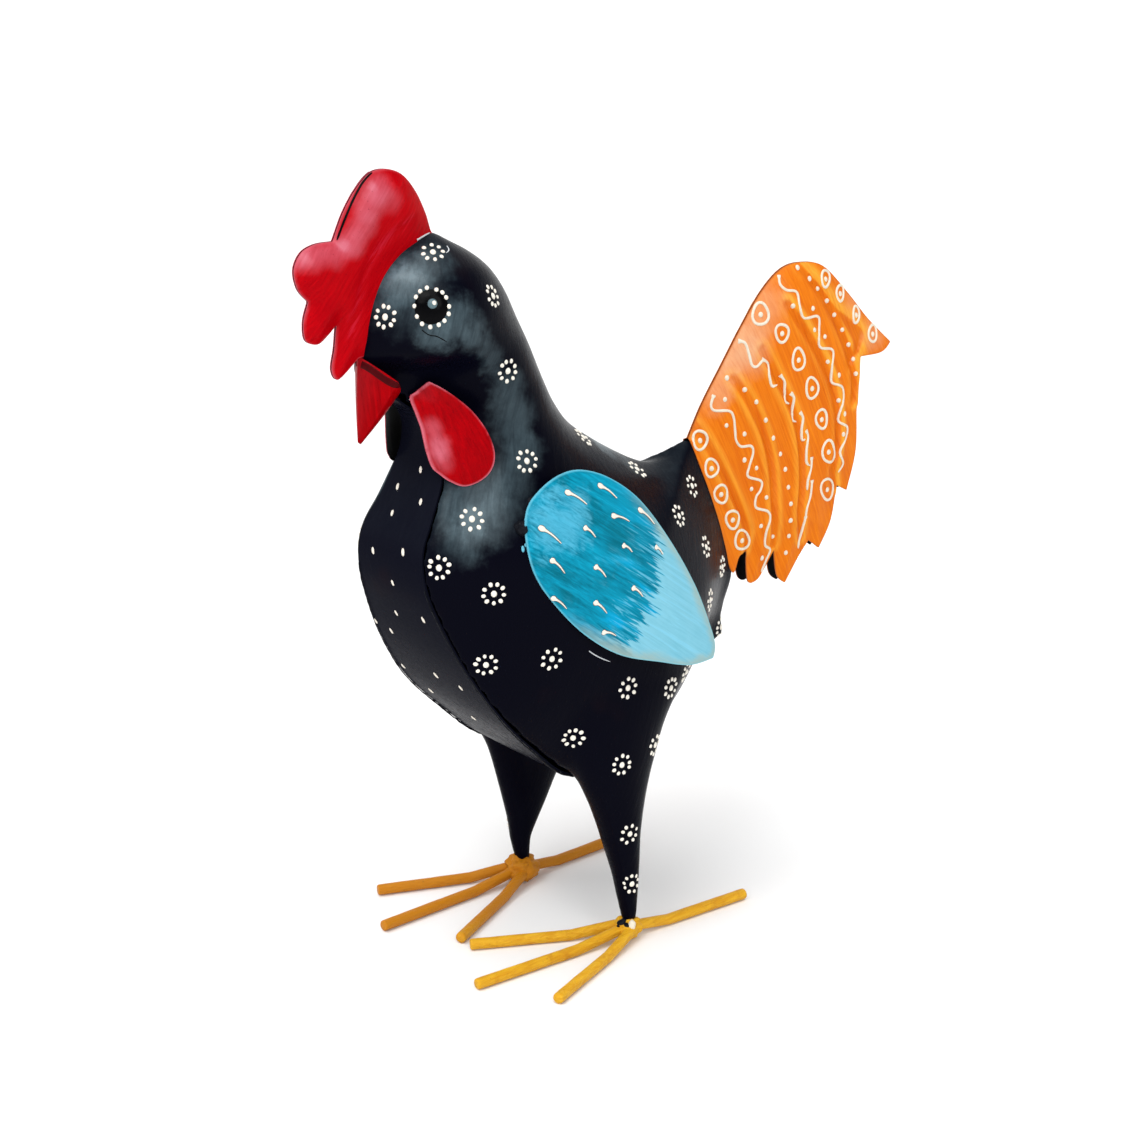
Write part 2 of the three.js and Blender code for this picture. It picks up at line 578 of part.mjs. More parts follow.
const toes = {
  middle: toeSolid(TOES.middle),
  inner: toeSolid(TOES.inner).subtract(clearMiddle),
  outer: toeSolid(TOES.outer).subtract(clearMiddle),
  rear: toeSolid(TOES.rear),
};

// Weld lumps.
const WELD_RIPPLE = 0.9;
function lump(x, y, z, radius, squash) {
  const geometry = new THREE.SphereGeometry(radius, 9, 6);
  const positions = geometry.attributes.position;
  for (let i = 0; i < positions.count; i++) {
    const p = new THREE.Vector3().fromBufferAttribute(positions, i);
    const ripple = Math.sin(p.x * WELD_RIPPLE + p.z) * Math.cos(p.y * WELD_RIPPLE + p.z);
    const wobble = 1 + (WELD_LUMP / radius) * ripple;
    positions.setXYZ(i, x + p.x * wobble, y + p.y * wobble, z + p.z * squash * wobble);
  }
  return solidOf(geometry);
}
const clearLeg = legSolid(-GAP, GAP, LEFT_LEAN);
let ankleWeld = lump(0, -LEG_SPREAD, ANKLE_HEIGHT, WELD_RADIUS, 0.86).subtract(clearLeg);
for (const toe of Object.values(TOES)) ankleWeld = ankleWeld.subtract(toeSolid(toe, GAP));

const beyondWing = (() => {
  const [x, z] = WING_SHOULDER;
  const reach = WING_WELD_RADIUS * 3;
  const half = 4;
  const places = Array.from({ length: 2 * half + 1 }, (_, i) => reach * (i / half - 1));
  const grid = (depth) => places.map((up) => places.map((along) => {
    const behindWing = -wingDepth(x + along, z + up) + SHEET + GAP;
    return new THREE.Vector3(x + along, depth ?? behindWing, z + up);
  }));
  return solidOf(solidBetween(grid(-2 * BODY_HALF_WIDTH), grid()));
})();
const wingWeldY = -(wingDepth(...WING_SHOULDER) - SHEET + flankDepth(...WING_SHOULDER)) / 2;
const wingWeld = lump(WING_SHOULDER[0], wingWeldY, WING_SHOULDER[1], WING_WELD_RADIUS, 1)
  .subtract(clearBody).subtract(beyondWing);

// Materials
const paint = (color, roughness, metalness) =>
  new THREE.MeshStandardMaterial({ color, roughness, metalness });
const BLACK = () => paint(0x101318, 0.32, 0.2);
const BREAST_BLACK = () => paint(0x1c2029, 0.4, 0.2);
const RED = () => paint(0xc8000f, 0.35, 0.1);
const BLUE = () => paint(0x1b96b8, 0.4, 0.1);
const ORANGE = () => paint(0xf28a1c, 0.4, 0.1);
const YELLOW = () => paint(0xe8a620, 0.55, 0.1);

// Assembly
const rooster = new THREE.Group();
function addPiece(name, geometry, material) {
  const mesh = new THREE.Mesh(geometry, material);
  mesh.name = name;
  rooster.add(mesh);
}
function addPair(name, solid, makeMaterial) {
  const geometry = geometryOf(solid);
  addPiece(`left_${name}`, geometry, makeMaterial());
  addPiece(`right_${name}`, mirrored(geometry), makeMaterial());
}
addPiece('left_side_shell', geometryOf(sideShell(LEFT_LEAN)), BLACK());
addPiece('right_side_shell', mirrored(geometryOf(sideShell(RIGHT_LEAN))), BLACK());
addPiece('breast_strip', breastStrip, BREAST_BLACK());
addPiece('beak', geometryOf(beak), RED());
addPair('comb_half', combHalf, RED);
addPair('wattle', wattle, RED);
addPair('wing', wing, BLUE);
addPair('wing_weld', wingWeld, BLACK);
addPair('tail_half', tailHalf, ORANGE);
for (const [name, solid] of Object.entries(toes)) addPair(`${name}_toe`, solid, YELLOW);
addPair('ankle_weld', ankleWeld, YELLOW);

const box = new THREE.Box3().setFromObject(rooster);
rooster.position.set(-(box.min.x + box.max.x) / 2, 0, -box.min.z);

export default rooster;
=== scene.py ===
# %% [markdown]
# # A rooster of painted sheet metal
# The real object is cut and pressed from thin steel sheet, welded, sprayed or brushed with
# enamel and then decorated with raised dots of cream paint. This file dresses the packed
# CAD model: it finds the surfaces again as fine meshes, gives them their paint, and lays the
# raised paint on them. Work starts with the frame, because every piece is placed by it.

import json
import math
import bpy
import numpy as np
from mathutils import Matrix, Vector, noise
from mathutils.bvhtree import BVHTree
from mathutils.geometry import delaunay_2d_cdt

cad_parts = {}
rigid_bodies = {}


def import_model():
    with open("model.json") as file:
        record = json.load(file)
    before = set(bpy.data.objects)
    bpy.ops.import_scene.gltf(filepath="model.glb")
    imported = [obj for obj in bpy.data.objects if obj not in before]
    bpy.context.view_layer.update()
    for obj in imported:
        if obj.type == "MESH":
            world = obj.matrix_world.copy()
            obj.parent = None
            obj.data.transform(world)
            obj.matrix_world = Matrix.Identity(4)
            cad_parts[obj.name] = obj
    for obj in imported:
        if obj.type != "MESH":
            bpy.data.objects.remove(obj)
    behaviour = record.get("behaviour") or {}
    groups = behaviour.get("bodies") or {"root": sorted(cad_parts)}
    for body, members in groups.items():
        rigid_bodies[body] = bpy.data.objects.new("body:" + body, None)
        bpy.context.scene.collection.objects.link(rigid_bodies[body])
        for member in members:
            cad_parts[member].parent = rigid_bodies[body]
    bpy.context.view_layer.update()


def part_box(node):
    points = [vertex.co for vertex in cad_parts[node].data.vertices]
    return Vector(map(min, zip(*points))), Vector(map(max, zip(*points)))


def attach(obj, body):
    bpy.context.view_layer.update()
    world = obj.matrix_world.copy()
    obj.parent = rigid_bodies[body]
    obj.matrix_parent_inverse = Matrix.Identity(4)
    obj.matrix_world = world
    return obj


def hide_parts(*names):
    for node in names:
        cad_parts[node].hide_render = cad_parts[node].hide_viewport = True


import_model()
MM = 0.001

# %% [markdown]
# ## Where the drawing lies
# The maker's drawing is in millimetres with x = 0 at the legs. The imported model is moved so
# that its box is centred, so one number carries the drawing into the frame. It is read from
# the rear toe's box, so it follows if the CAD model changes.

# %% From the drawing to the frame
REAR_TOE_START = 0.17
LEGS_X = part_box("left_rear_toe")[0][0] - REAR_TOE_START * MM


def to_frame(points):
    placed = np.asarray(points, float) * MM
    placed[..., 0] += LEGS_X
    return placed


print("legs stand at x =", round(LEGS_X, 5))

# %% [markdown]
# ## The camera
# The picture was taken from the bird's front left, a little above it. A long lens at 1.3 m
# keeps the perspective as mild as it looks there. The same numbers give the ray of any
# place in the picture, which later tells where a painted dot lies on the metal.

# %% Camera
AZIMUTH, ELEVATION, DISTANCE = -38.71, 18.5, 1.3
LENS, SENSOR, PICTURE = 78.55, 36.0, 1132
LOOKED_AT = (-4.75, 0, 200.29)


def direction(azimuth, elevation):
    """The way out to a camera or lamp, by its angles in degrees. Azimuth 0 is from the front."""
    az, el = math.radians(azimuth), math.radians(elevation)
    return Vector((math.sin(az) * math.cos(el), -math.cos(az) * math.cos(el), math.sin(el)))


target = Vector(to_frame(LOOKED_AT))
backward = direction(AZIMUTH, ELEVATION)
rightward = Vector((math.cos(math.radians(AZIMUTH)), math.sin(math.radians(AZIMUTH)), 0))
upward = backward.cross(rightward)
eye_point = target + backward * DISTANCE
camera_data = bpy.data.cameras.new("camera")
camera_data.lens, camera_data.sensor_width = LENS, SENSOR
camera = bpy.data.objects.new("camera", camera_data)
turn = Matrix((rightward, upward, backward)).transposed().to_4x4()
camera.matrix_world = Matrix.Translation(eye_point) @ turn
bpy.context.scene.collection.objects.link(camera)
bpy.context.scene.camera = camera


def sight_line(px, py):
    """The way from the camera through a pixel of the picture."""
    across = (px - PICTURE / 2) * SENSOR / PICTURE
    down = (py - PICTURE / 2) * SENSOR / PICTURE
    return (rightward * across - upward * down - backward * LENS).normalized()


print("camera at", tuple(round(c, 3) for c in eye_point))

# %% [markdown]
# ## Mesh helpers
# Sheet metal is easiest to make as grids and filled outlines. These helpers turn numpy
# arrays into Blender meshes, with a normal for each point and smooth shading, so the parts
# below need only say where their surfaces run.

# %% Mesh helpers
def new_piece(name, points, faces, materials, face_material=None, sharp=40, fields=None):
    """An object from points in metres. Fields are values kept on its points for the materials."""
    mesh = bpy.data.meshes.new(name)
    mesh.from_pydata([tuple(p) for p in np.asarray(points)], [], [tuple(map(int, f)) for f in faces])
    for material in materials:
        mesh.materials.append(material)
    mesh.shade_smooth()
    if face_material is not None:
        mesh.polygons.foreach_set("material_index", np.asarray(face_material, np.int32))
    for key, values in (fields or {}).items():
        mesh.attributes.new(key, "FLOAT", "POINT").data.foreach_set("value", np.asarray(values, np.float32))
    mesh.set_sharp_from_angle(angle=math.radians(sharp))
    piece = bpy.data.objects.new(name, mesh)
    bpy.context.scene.collection.objects.link(piece)
    return piece


def grid_faces(rows, columns, closed=False):
    around = columns if closed else columns - 1
    i, j = np.meshgrid(np.arange(rows - 1), np.arange(around), indexing="ij")
    a = (i * columns + j).ravel()
    b = (i * columns + (j + 1) % columns).ravel()
    return np.stack([a, a + columns, b + columns, b], 1)


def flipped(faces):
    return [tuple(f)[::-1] for f in faces]


def mirrored(points):
    return np.asarray(points) * np.array([1, -1, 1])


def tree_of(points, faces):
    return BVHTree.FromPolygons([tuple(p) for p in points], [tuple(map(int, f)) for f in faces])


def catmull(points, t, clamped=False):
    """Points on a Catmull-Rom curve through the given ones, for t from 0 to 1."""
    p = np.asarray(points, float)
    ends = (p[0], p[-1]) if clamped else (2 * p[0] - p[1], 2 * p[-1] - p[-2])
    p = np.vstack([ends[0], p, ends[1]])
    place = np.clip(np.asarray(t, float), 0, 1) * (len(p) - 3)
    i = np.minimum(place.astype(int), len(p) - 4)
    w = (place - i)[..., None]
    a, b, c, d = p[i], p[i + 1], p[i + 2], p[i + 3]
    return 0.5 * (2 * b + (c - a) * w + (2 * a - 5 * b + 4 * c - d) * w**2 + (3 * b - a - 3 * c + d) * w**3)


# %% [markdown]
# ## Materials as expressions
# Paint is a mixture of many small sums: a streak times a mask plus a tint. Wiring that by
# hand is hard to read, so one small class lets shader values be written as Python sums.
# Colours go through Mix nodes and vectors through Vector Math.

# %% Shader values
def operator(operation, reflected=False):
    """A Python operator that makes a Math node. A reflected one has the socket second."""
    def method(self, other):
        return self._math(operation, *((other, self) if reflected else (self, other)))
    return method


class Value:
    """A shader socket that can be used in Python sums."""

    __add__, __radd__ = operator("ADD"), operator("ADD", True)
    __sub__, __rsub__ = operator("SUBTRACT"), operator("SUBTRACT", True)
    __mul__, __rmul__ = operator("MULTIPLY"), operator("MULTIPLY", True)
    __truediv__, __rtruediv__ = operator("DIVIDE"), operator("DIVIDE", True)

    def __init__(self, finish, socket):
        self.finish, self.socket = finish, socket

    def _math(self, operation, first, second, clamp=False):
        settings = {"operation": operation, "use_clamp": clamp}
        return self.finish.node("ShaderNodeMath", settings, {0: first, 1: second})[0]

    def clamp(self):
        return self._math("ADD", self, 0.0, clamp=True)

    def strong(self, times):
        """Noise with its narrow middle range spread over 0 to 1."""
        return ((self - 0.5) * times + 0.5).clamp()

    def step(self, low, high):
        """0 below low, 1 above high, smooth between them."""
        settings = {"interpolation_type": "SMOOTHSTEP"}
        values = {"Value": self, "From Min": low, "From Max": high}
        return self.finish.node("ShaderNodeMapRange", settings, values)[0]


print("shader values ready")

# %% Nodes and links
class Outputs:
    """A new node: its outputs, by number or name, as values."""

    def __init__(self, finish, source):
        self.finish, self.source = finish, source

    def __getitem__(self, key):
        return Value(self.finish, self.source.outputs[key])


class Nodes:
    """A node tree that grows one call at a time."""

    def __init__(self, tree):
        self.tree = tree

    def node(self, kind, settings=None, values=None):
        """A node of one kind. Its settings are made first, then its sockets get values or links."""
        made = self.tree.nodes.new(kind)
        for key, setting in (settings or {}).items():
            setattr(made, key, setting)
        for key, value in (values or {}).items():
            self.link(made.inputs[key], value)
        return Outputs(self, made)

    def vector(self, operation, first, second, output=0):
        """The result of a Vector Math node."""
        return self.node("ShaderNodeVectorMath", {"operation": operation}, {0: first, 1: second})[output]

    def link(self, socket, value):
        if isinstance(value, Value):
            self.tree.links.new(value.socket, socket)
        elif socket.type == "RGBA" and len(value) == 3:
            socket.default_value = (*value, 1)
        else:
            socket.default_value = value


print("node trees ready")

# %% [markdown]
# ## A finish
# A finish is one material with the parts every paint here needs: noise by place, values
# that the mesh carries on its points, a mix of two colours and a height for the bump.
# Places are the object's own, in metres, so marks keep their real size on every piece.

# %% Finish
COLOUR_MIX = {"share": 0, "one": 6, "other": 7, "result": 2}  # numbers of a Mix node's colour sockets


class Finish(Nodes):
    """A material whose nodes are made one call at a time."""

    def __init__(self, name):
        self.material = bpy.data.materials.new(name)
        self.material.use_nodes = True
        super().__init__(self.material.node_tree)
        self.shader = self.tree.nodes["Principled BSDF"]
        self.place = self.node("ShaderNodeTexCoord")["Object"]

    def field(self, name):
        """A value written on the mesh's points."""
        return self.node("ShaderNodeAttribute", {"attribute_name": name})["Fac"]

    def noise(self, scale, detail=3, roughness=0.55, turn=(0, 0, 0), distortion=0):
        values = {"Vector": self.place, "Rotation": turn}
        where = self.node("ShaderNodeMapping", None, values)["Vector"]
        values = {"Vector": where, "Scale": scale, "Detail": detail, "Roughness": roughness,
                  "Distortion": distortion}
        return self.node("ShaderNodeTexNoise", None, values)[0]

    def mix(self, share, one, other):
        """The first colour where the share is 0, the other where it is 1."""
        values = {COLOUR_MIX["share"]: share, COLOUR_MIX["one"]: one, COLOUR_MIX["other"]: other}
        return self.node("ShaderNodeMix", {"data_type": "RGBA"}, values)[COLOUR_MIX["result"]]

    def height(self, value, distance, strength=1.0):
        """A bump, with the value's full height in metres."""
        values = {"Height": value, "Distance": distance, "Strength": strength}
        self.link(self.shader.inputs["Normal"], self.node("ShaderNodeBump", None, values)["Normal"])

    def set(self, **sockets):
        """The shader's own sockets. Returns the finished material."""
        for key, value in sockets.items():
            self.link(self.shader.inputs[key.replace("_", " ")], value)
        return self.material


print("finish ready")

# %% [markdown]
# ## The body's side as a drawing
# Each half of the bird is one pressed sheet: head, neck, flank and leg in one. The drawing
# gives 25 stations from crown to rump. A station joins a point of the front edge to one of
# the back edge and swells between them like a rounded bow. Drawing it again as a formula,
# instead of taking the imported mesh, gives as fine a surface as gloss paint needs.

# %% Stations from crown to rump
SEAM, HEAD, NECK, BODY, STRIP, ROOT = 0.4, 35.5, 31.5, 63.0, 42.5, 5.0
FRONT_ROUND, THROAT_ROUND, BACK_ROUND = 1.18, 0.45, 1.25
# front x and z, back x and z, front and back depth, widest, and where it is widest
PLACES = [
    (-93, 388.8, -86.5, 387.6, SEAM, SEAM, SEAM * 1.5, 0.5),
    (-101, 385.6, -79, 383.2, SEAM, SEAM, HEAD * 0.29, 0.47),
    (-112, 379.6, -67, 376.6, SEAM, SEAM, HEAD * 0.57, 0.45),
    (-122, 369, -55, 367.4, SEAM, SEAM, HEAD * 0.82, 0.43),
    (-128.6, 354, -45.8, 355, SEAM, SEAM, HEAD * 0.98, 0.42),
    (-131.8, 337, -39.2, 342, SEAM, SEAM, HEAD, 0.45),
    (-129, 322, -32.8, 328.6, 2.5, SEAM, NECK, 0.62),
    (-115.5, 309, -27.2, 316, STRIP * 0.18, SEAM, NECK * 0.97, 0.62),
    (-103.5, 299, -21.8, 304, STRIP * 0.24, SEAM, NECK, 0.58),
    (-98.5, 287, -15, 292, STRIP * 0.34, SEAM, NECK * 1.08, 0.52),
    (-99, 271, -4.8, 279.8, STRIP * 0.47, SEAM, BODY * 0.635, 0.46),
    (-108, 251.5, 11.5, 268, STRIP * 0.55, SEAM, BODY * 0.745, 0.42),
    (-116, 236, 29.5, 257, STRIP * 0.62, SEAM, BODY * 0.86, 0.41),
    (-116.3, 218, 45.5, 249.2, STRIP * 0.69, SEAM, BODY * 0.94, 0.4),
    (-110, 198, 58, 246.6, STRIP * 0.78, 1.2, BODY * 0.985, 0.4),
    (-98, 172, 69, 249, STRIP * 0.9, 1.9, BODY, 0.4),
    (-80.5, 145, 79.4, 254.6, STRIP, 2.6, BODY * 0.995, 0.4),
    (-59.5, 122.5, 90, 237, STRIP * 0.95, ROOT, BODY * 0.97, 0.39),
    (-35, 101.5, 98, 218.5, STRIP * 0.87, ROOT, BODY * 0.92, 0.37),
    (-5, 93.5, 104, 204, STRIP * 0.73, ROOT, BODY * 0.73, 0.33),
    (26, 97, 110, 189.5, STRIP * 0.6, ROOT, BODY * 0.42, 0.25),
    (50, 110.5, 110.5, 173, STRIP * 0.34, ROOT, BODY * 0.235, 0.16),
    (66, 126, 106.5, 160.5, STRIP * 0.25, ROOT * 0.8, BODY * 0.17, 0.16),
    (84, 137, 104.5, 149, STRIP * 0.16, ROOT * 0.6, BODY * 0.11, 0.3),
    (98, 134.5, 107, 138.5, STRIP * 0.08, ROOT * 0.5, BODY * 0.06, 0.5),
]
ROUND_BEFORE = [FRONT_ROUND] * 6 + [THROAT_ROUND] * 3 + [(FRONT_ROUND + THROAT_ROUND) / 2] + [FRONT_ROUND] * 15
ROUND_BEHIND = [BACK_ROUND] * 13 + [1.2, 1, 0.85, 0.72, 0.75, 0.8, 0.8, 0.8, 0.8, 0.9, 1, 1.2]
STATIONS = np.column_stack([PLACES, ROUND_BEFORE, ROUND_BEHIND])
LAST = len(STATIONS) - 1
print("stations:", len(STATIONS))

# %% [markdown]
# ## From stations to a bow
# A pressed sheet has no corners, so the stations are joined by smooth curves, and each bow
# is a power curve: low powers give the full belly, high ones the flatter throat. A second
# surface under the bow closes it to a volume, which the welding of both sides needs.

# %% The bow of a side
def station_at(s):
    """The ten values of a station anywhere from the crown, s = 0, to the rump, s = 1."""
    return np.moveaxis(catmull(STATIONS, s), -1, 0)


def flank(s, v):
    """The left side's face: v runs from its front edge, 0, to its back edge, 1."""
    s, v = np.broadcast_arrays(np.asarray(s, float), np.asarray(v, float))
    fx, fz, bx, bz, front, back, widest, where, before, behind = station_at(s)
    u = (1 - np.cos(np.pi * v)) / 2
    forward = u < where
    reach = np.where(forward, 1 - u / where, (u - where) / (1 - where))
    edge = np.where(forward, front, back)
    swell = np.maximum(1 - reach**2, 0) ** (1 / np.where(forward, before, behind))
    depth = edge + (np.maximum(widest, SEAM) - edge) * swell
    return np.stack([fx + (bx - fx) * u, -depth, fz + (bz - fz) * u], -1)


OVERLAP, SEAM_BELOW, BACK_BELOW = 1.0, 1.5, 6
RUMP_CLOSED, CLOSES_OVER = 20.6, 1.2


def chord(s, v):
    """The lines under the bow. At a seam, along the back and in the rump they pass the middle plane."""
    s, v = np.broadcast_arrays(np.asarray(s, float), np.asarray(v, float))
    fx, fz, bx, bz, front, back = station_at(s)[:6]
    front = np.where(front < SEAM_BELOW, -OVERLAP, front)
    back = np.where(back < BACK_BELOW, -OVERLAP, back)
    hollow = np.clip((RUMP_CLOSED - s * LAST) / CLOSES_OVER, 0, 1)
    front, back = front * hollow - OVERLAP * (1 - hollow), back * hollow - OVERLAP * (1 - hollow)
    u = (1 - np.cos(np.pi * v)) / 2
    return np.stack([fx + (bx - fx) * u, -(front + (back - front) * u), fz + (bz - fz) * u], -1)


BODY_ROWS, BODY_COLUMNS = 181, 61
along, across = np.meshgrid(np.linspace(0, 1, BODY_ROWS), np.linspace(0, 1, BODY_COLUMNS), indexing="ij")
flank_points = flank(along, across).reshape(-1, 3)
flank_faces = grid_faces(BODY_ROWS, BODY_COLUMNS)
flank_tree = tree_of(flank_points, flank_faces)
print("flank reaches out to", round(float(-flank_points[:, 1].min()), 1), "mm")

# %% [markdown]
# ## The legs in the same sheet
# Each leg is a cone rolled out of the side's own sheet, oval at the top and round at the
# ankle. The far leg stands a little fuller than the near one. A loft of oval rings gives it.

# %% Rings of the legs
LEG_SPREAD, LEG_TOP, LEAN_FROM, LEAN_SHIFT = 46.8, 150.0, 27.0, 1.12
LEANS = {"left": 0.0, "right": 0.55}
# height, x, half across, half along
LEG_RINGS = np.array([
    (10.3, 1.3, 4, 4), (24, -0.2, 5.7, 5.7), (38, -1.6, 7.4, 7.4), (50, -3.4, 9.02, 9.38),
    (61, -5.3, 10.23, 11.33), (72, -6.6, 11.44, 13.75), (84, -8, 12.54, 17.16), (96, -9.4, 13.53, 21.78),
    (109, -9.6, 14.52, 26.95), (122, -9, 14.96, 31.35), (136, -6.5, 14.52, 37.4), (150, -3, 13.2, 44),
])
LEG_SIDES = 40


def leg_points(lean):
    """Rings of the left leg, from ankle to flank. A lean moves its back edge out."""
    z, x, half_across, half_along = catmull(LEG_RINGS, np.linspace(0, 1, 70)).T
    extra = lean * np.clip(np.minimum(z - LEAN_FROM, LEG_TOP - z), 0, None) / 2
    angle = np.linspace(0, 2 * np.pi, LEG_SIDES, endpoint=False)
    px = (x + extra * LEAN_SHIFT)[:, None] + (half_along + extra * (2 - LEAN_SHIFT))[:, None] * np.cos(angle)
    py = -LEG_SPREAD + half_across[:, None] * np.sin(angle)
    return np.stack([px, py, np.repeat(z[:, None], LEG_SIDES, 1)], -1)


def capped(rings):
    """A closed loft: the points and faces through the rings, with both ends filled."""
    rows, columns = rings.shape[:2]
    points = np.vstack([rings.reshape(-1, 3), rings[0].mean(0), rings[-1].mean(0)])
    faces = [tuple(f) for f in grid_faces(rows, columns, closed=True)]
    for j in range(columns):
        k = (j + 1) % columns
        faces.append((rows * columns, j, k))
        faces.append((rows * columns + 1, (rows - 1) * columns + k, (rows - 1) * columns + j))
    return points, faces


print("leg rings", leg_points(0).shape)

# %% [markdown]
# ## Two pressed sides, welded along the crown and back
# A press leaves no hard line where the leg leaves the flank, and the weld along the crown,
# nape and back was filed flush. Joining the bows and legs of both sides as closed volumes
# and remeshing them in small voxels melts them into one skin. First come the helpers that
# close a volume, put several together and smooth a mesh.

# %% Helpers for the skin
VOXEL = 0.0016


def ring_round(rows, columns):
    """The edge of a grid as one loop of point numbers."""
    ring = [i * columns for i in range(rows)] + [(rows - 1) * columns + j for j in range(1, columns)]
    return ring + [i * columns + columns - 1 for i in range(rows - 2, -1, -1)] + list(range(columns - 2, 0, -1))


def slab_between(outer, inner):
    """A closed sheet between two grids: points and faces."""
    rows, columns = outer.shape[:2]
    count = rows * columns
    points = np.vstack([outer.reshape(-1, 3), inner.reshape(-1, 3)])
    faces = [tuple(f) for f in grid_faces(rows, columns)]
    faces += [tuple(i + count for i in f[::-1]) for f in grid_faces(rows, columns)]
    ring = ring_round(rows, columns)
    faces += [(b, a, a + count, b + count) for a, b in zip(ring, ring[1:] + ring[:1])]
    return points, faces


def joined(*parts):
    """Several (points, faces) as one."""
    points, faces = [], []
    for part_points, part_faces in parts:
        first = sum(len(p) for p in points)
        points.append(np.asarray(part_points))
        faces += [tuple(int(i) + first for i in f) for f in part_faces]
    return np.vstack(points), faces


def relaxed(points, edges, passes, share):
    """Moves each point towards the middle of its neighbours."""
    ends = np.concatenate([edges, edges[:, ::-1]])
    count = np.bincount(ends[:, 0], minlength=len(points))[:, None]
    for _ in range(passes):
        total = np.stack([np.bincount(ends[:, 0], points[ends[:, 1], k], len(points)) for k in range(3)], 1)
        points = points + (total / np.maximum(count, 1) - points) * share
    return points


def read_mesh(layer, key, width, kind=float):
    """One array from a layer of a mesh, such as its vertices."""
    values = np.empty(len(layer) * width, kind)
    layer.foreach_get(key, values)
    return values.reshape(-1, width)


print("voxel", VOXEL / MM, "mm")

# %% [markdown]
# ## The volumes that are welded
# Two bows and two legs, closed, each reaching a millimetre over the middle so that the
# remesh joins them. Where the back narrows to a ridge before the tail the bows are thinner
# than a voxel, so a short bar of filler lies in the ridge, as a welder would fill it.

# %% Closed volumes
outer_grid = flank_points.reshape(BODY_ROWS, BODY_COLUMNS, 3)
inner_grid = chord(along, across)
left_bow = slab_between(outer_grid, inner_grid)
right_bow = (mirrored(left_bow[0]), flipped(left_bow[1]))
right_leg_points, right_leg_faces = capped(leg_points(LEANS["right"]))
right_leg = (mirrored(right_leg_points), flipped(right_leg_faces))
FILLER_FROM, FILLER_TO, FILLER_RADIUS, FILLER_BACK, FILLER_DOWN = 14.2, 16.3, 2.2, 0.6, 2.3
back_line = station_at(np.linspace(FILLER_FROM, FILLER_TO, 24) / LAST)[2:4].T
filler = np.array([[(x - FILLER_BACK, FILLER_RADIUS * math.cos(a), z - FILLER_DOWN + FILLER_RADIUS * math.sin(a))
                    for a in np.linspace(0, 2 * np.pi, 16, endpoint=False)] for x, z in back_line])
left_leg = capped(leg_points(LEANS["left"]))
both_points, both_faces = joined(capped(filler), left_bow, left_leg, right_bow, right_leg)
print("five closed volumes,", len(both_faces), "faces")

# %% One skin from the volumes
block = new_piece("block", to_frame(both_points), both_faces, [])
remesh = block.modifiers.new("remesh", "REMESH")
remesh.mode, remesh.voxel_size = "VOXEL", VOXEL
whole = bpy.data.meshes.new_from_object(block.evaluated_get(bpy.context.evaluated_depsgraph_get()))
bpy.data.objects.remove(block)
skin = read_mesh(whole.vertices, "co", 3)
skin_edges = read_mesh(whole.edges, "vertices", 2, np.int32)
print("skin of", len(skin), "points")

# %% [markdown]
# ## Smoothing, dents and the cut
# The voxels leave steps, so every point moves towards its neighbours a few times, and many
# times where a leg leaves the flank. Hand-worked sheet is never quite even: slow noise
# along the normals gives the dents that break up its shine.

# %% Smoothed and dented skin
STEP_PASSES, HOLLOW_PASSES, SHARE_MOVED = 9, 60, 0.5
DENT_SIZES, DENT_DEPTH = (24, 70), 0.00028


def normals_of(mesh, points):
    """Puts the points into the mesh and reads its normals."""
    mesh.vertices.foreach_set("co", points.ravel())
    mesh.update()
    return read_mesh(mesh.vertex_normals, "vector", 3)


skin = relaxed(skin, skin_edges, STEP_PASSES, SHARE_MOVED)
x, y, z = ((skin - [LEGS_X, 0, 0]) / MM).T
leg_root = np.exp(-((z - 122) / 30) ** 2) * np.exp(-((x + 6) / 50) ** 2) * np.clip((np.abs(y) - 25) / 10, 0, 1)
skin = relaxed(skin, skin_edges, HOLLOW_PASSES, SHARE_MOVED * leg_root[:, None])
broad, small = DENT_SIZES
dents = np.array([noise.noise(Vector(p) * broad) + 0.4 * noise.noise(Vector(p) * small) for p in skin])
skin = skin + normals_of(whole, skin) * (dents * DENT_DEPTH)[:, None]
normals = normals_of(whole, skin)
print("deepest dent", round(float(np.abs(dents).max() * DENT_DEPTH / MM), 2), "mm")

# %% Cut along the middle
quads = np.array([tuple(p.vertices) for p in whole.polygons])
middle = skin[quads][..., 1].mean(1)
skins = {}
for side, mine in (("left", middle < 0), ("right", middle >= 0)):
    used, faces = np.unique(quads[mine], return_inverse=True)
    skins[side] = (skin[used], [tuple(f) for f in faces.reshape(-1, 4)], normals[used])
    print(side, "side has", int(mine.sum()), "faces")
bpy.data.meshes.remove(whole)

# %% [markdown]
# ## Breast strip
# A flat band closes the breast from throat to rump. It is welded a little behind the rims of
# the two sides, so a fine dark line runs down each edge. The band is a grid that follows the
# front edge, with a hint of crown so that its reflection is not dead flat.

# %% Breast strip
STRIP_FROM, STRIP_TO = 6.7 / LAST, 23.7 / LAST
STRIP_SET_IN, STRIP_THICK, STRIP_CROWN, STRIP_GAP = 0.5, 1, 0.5, 0.2


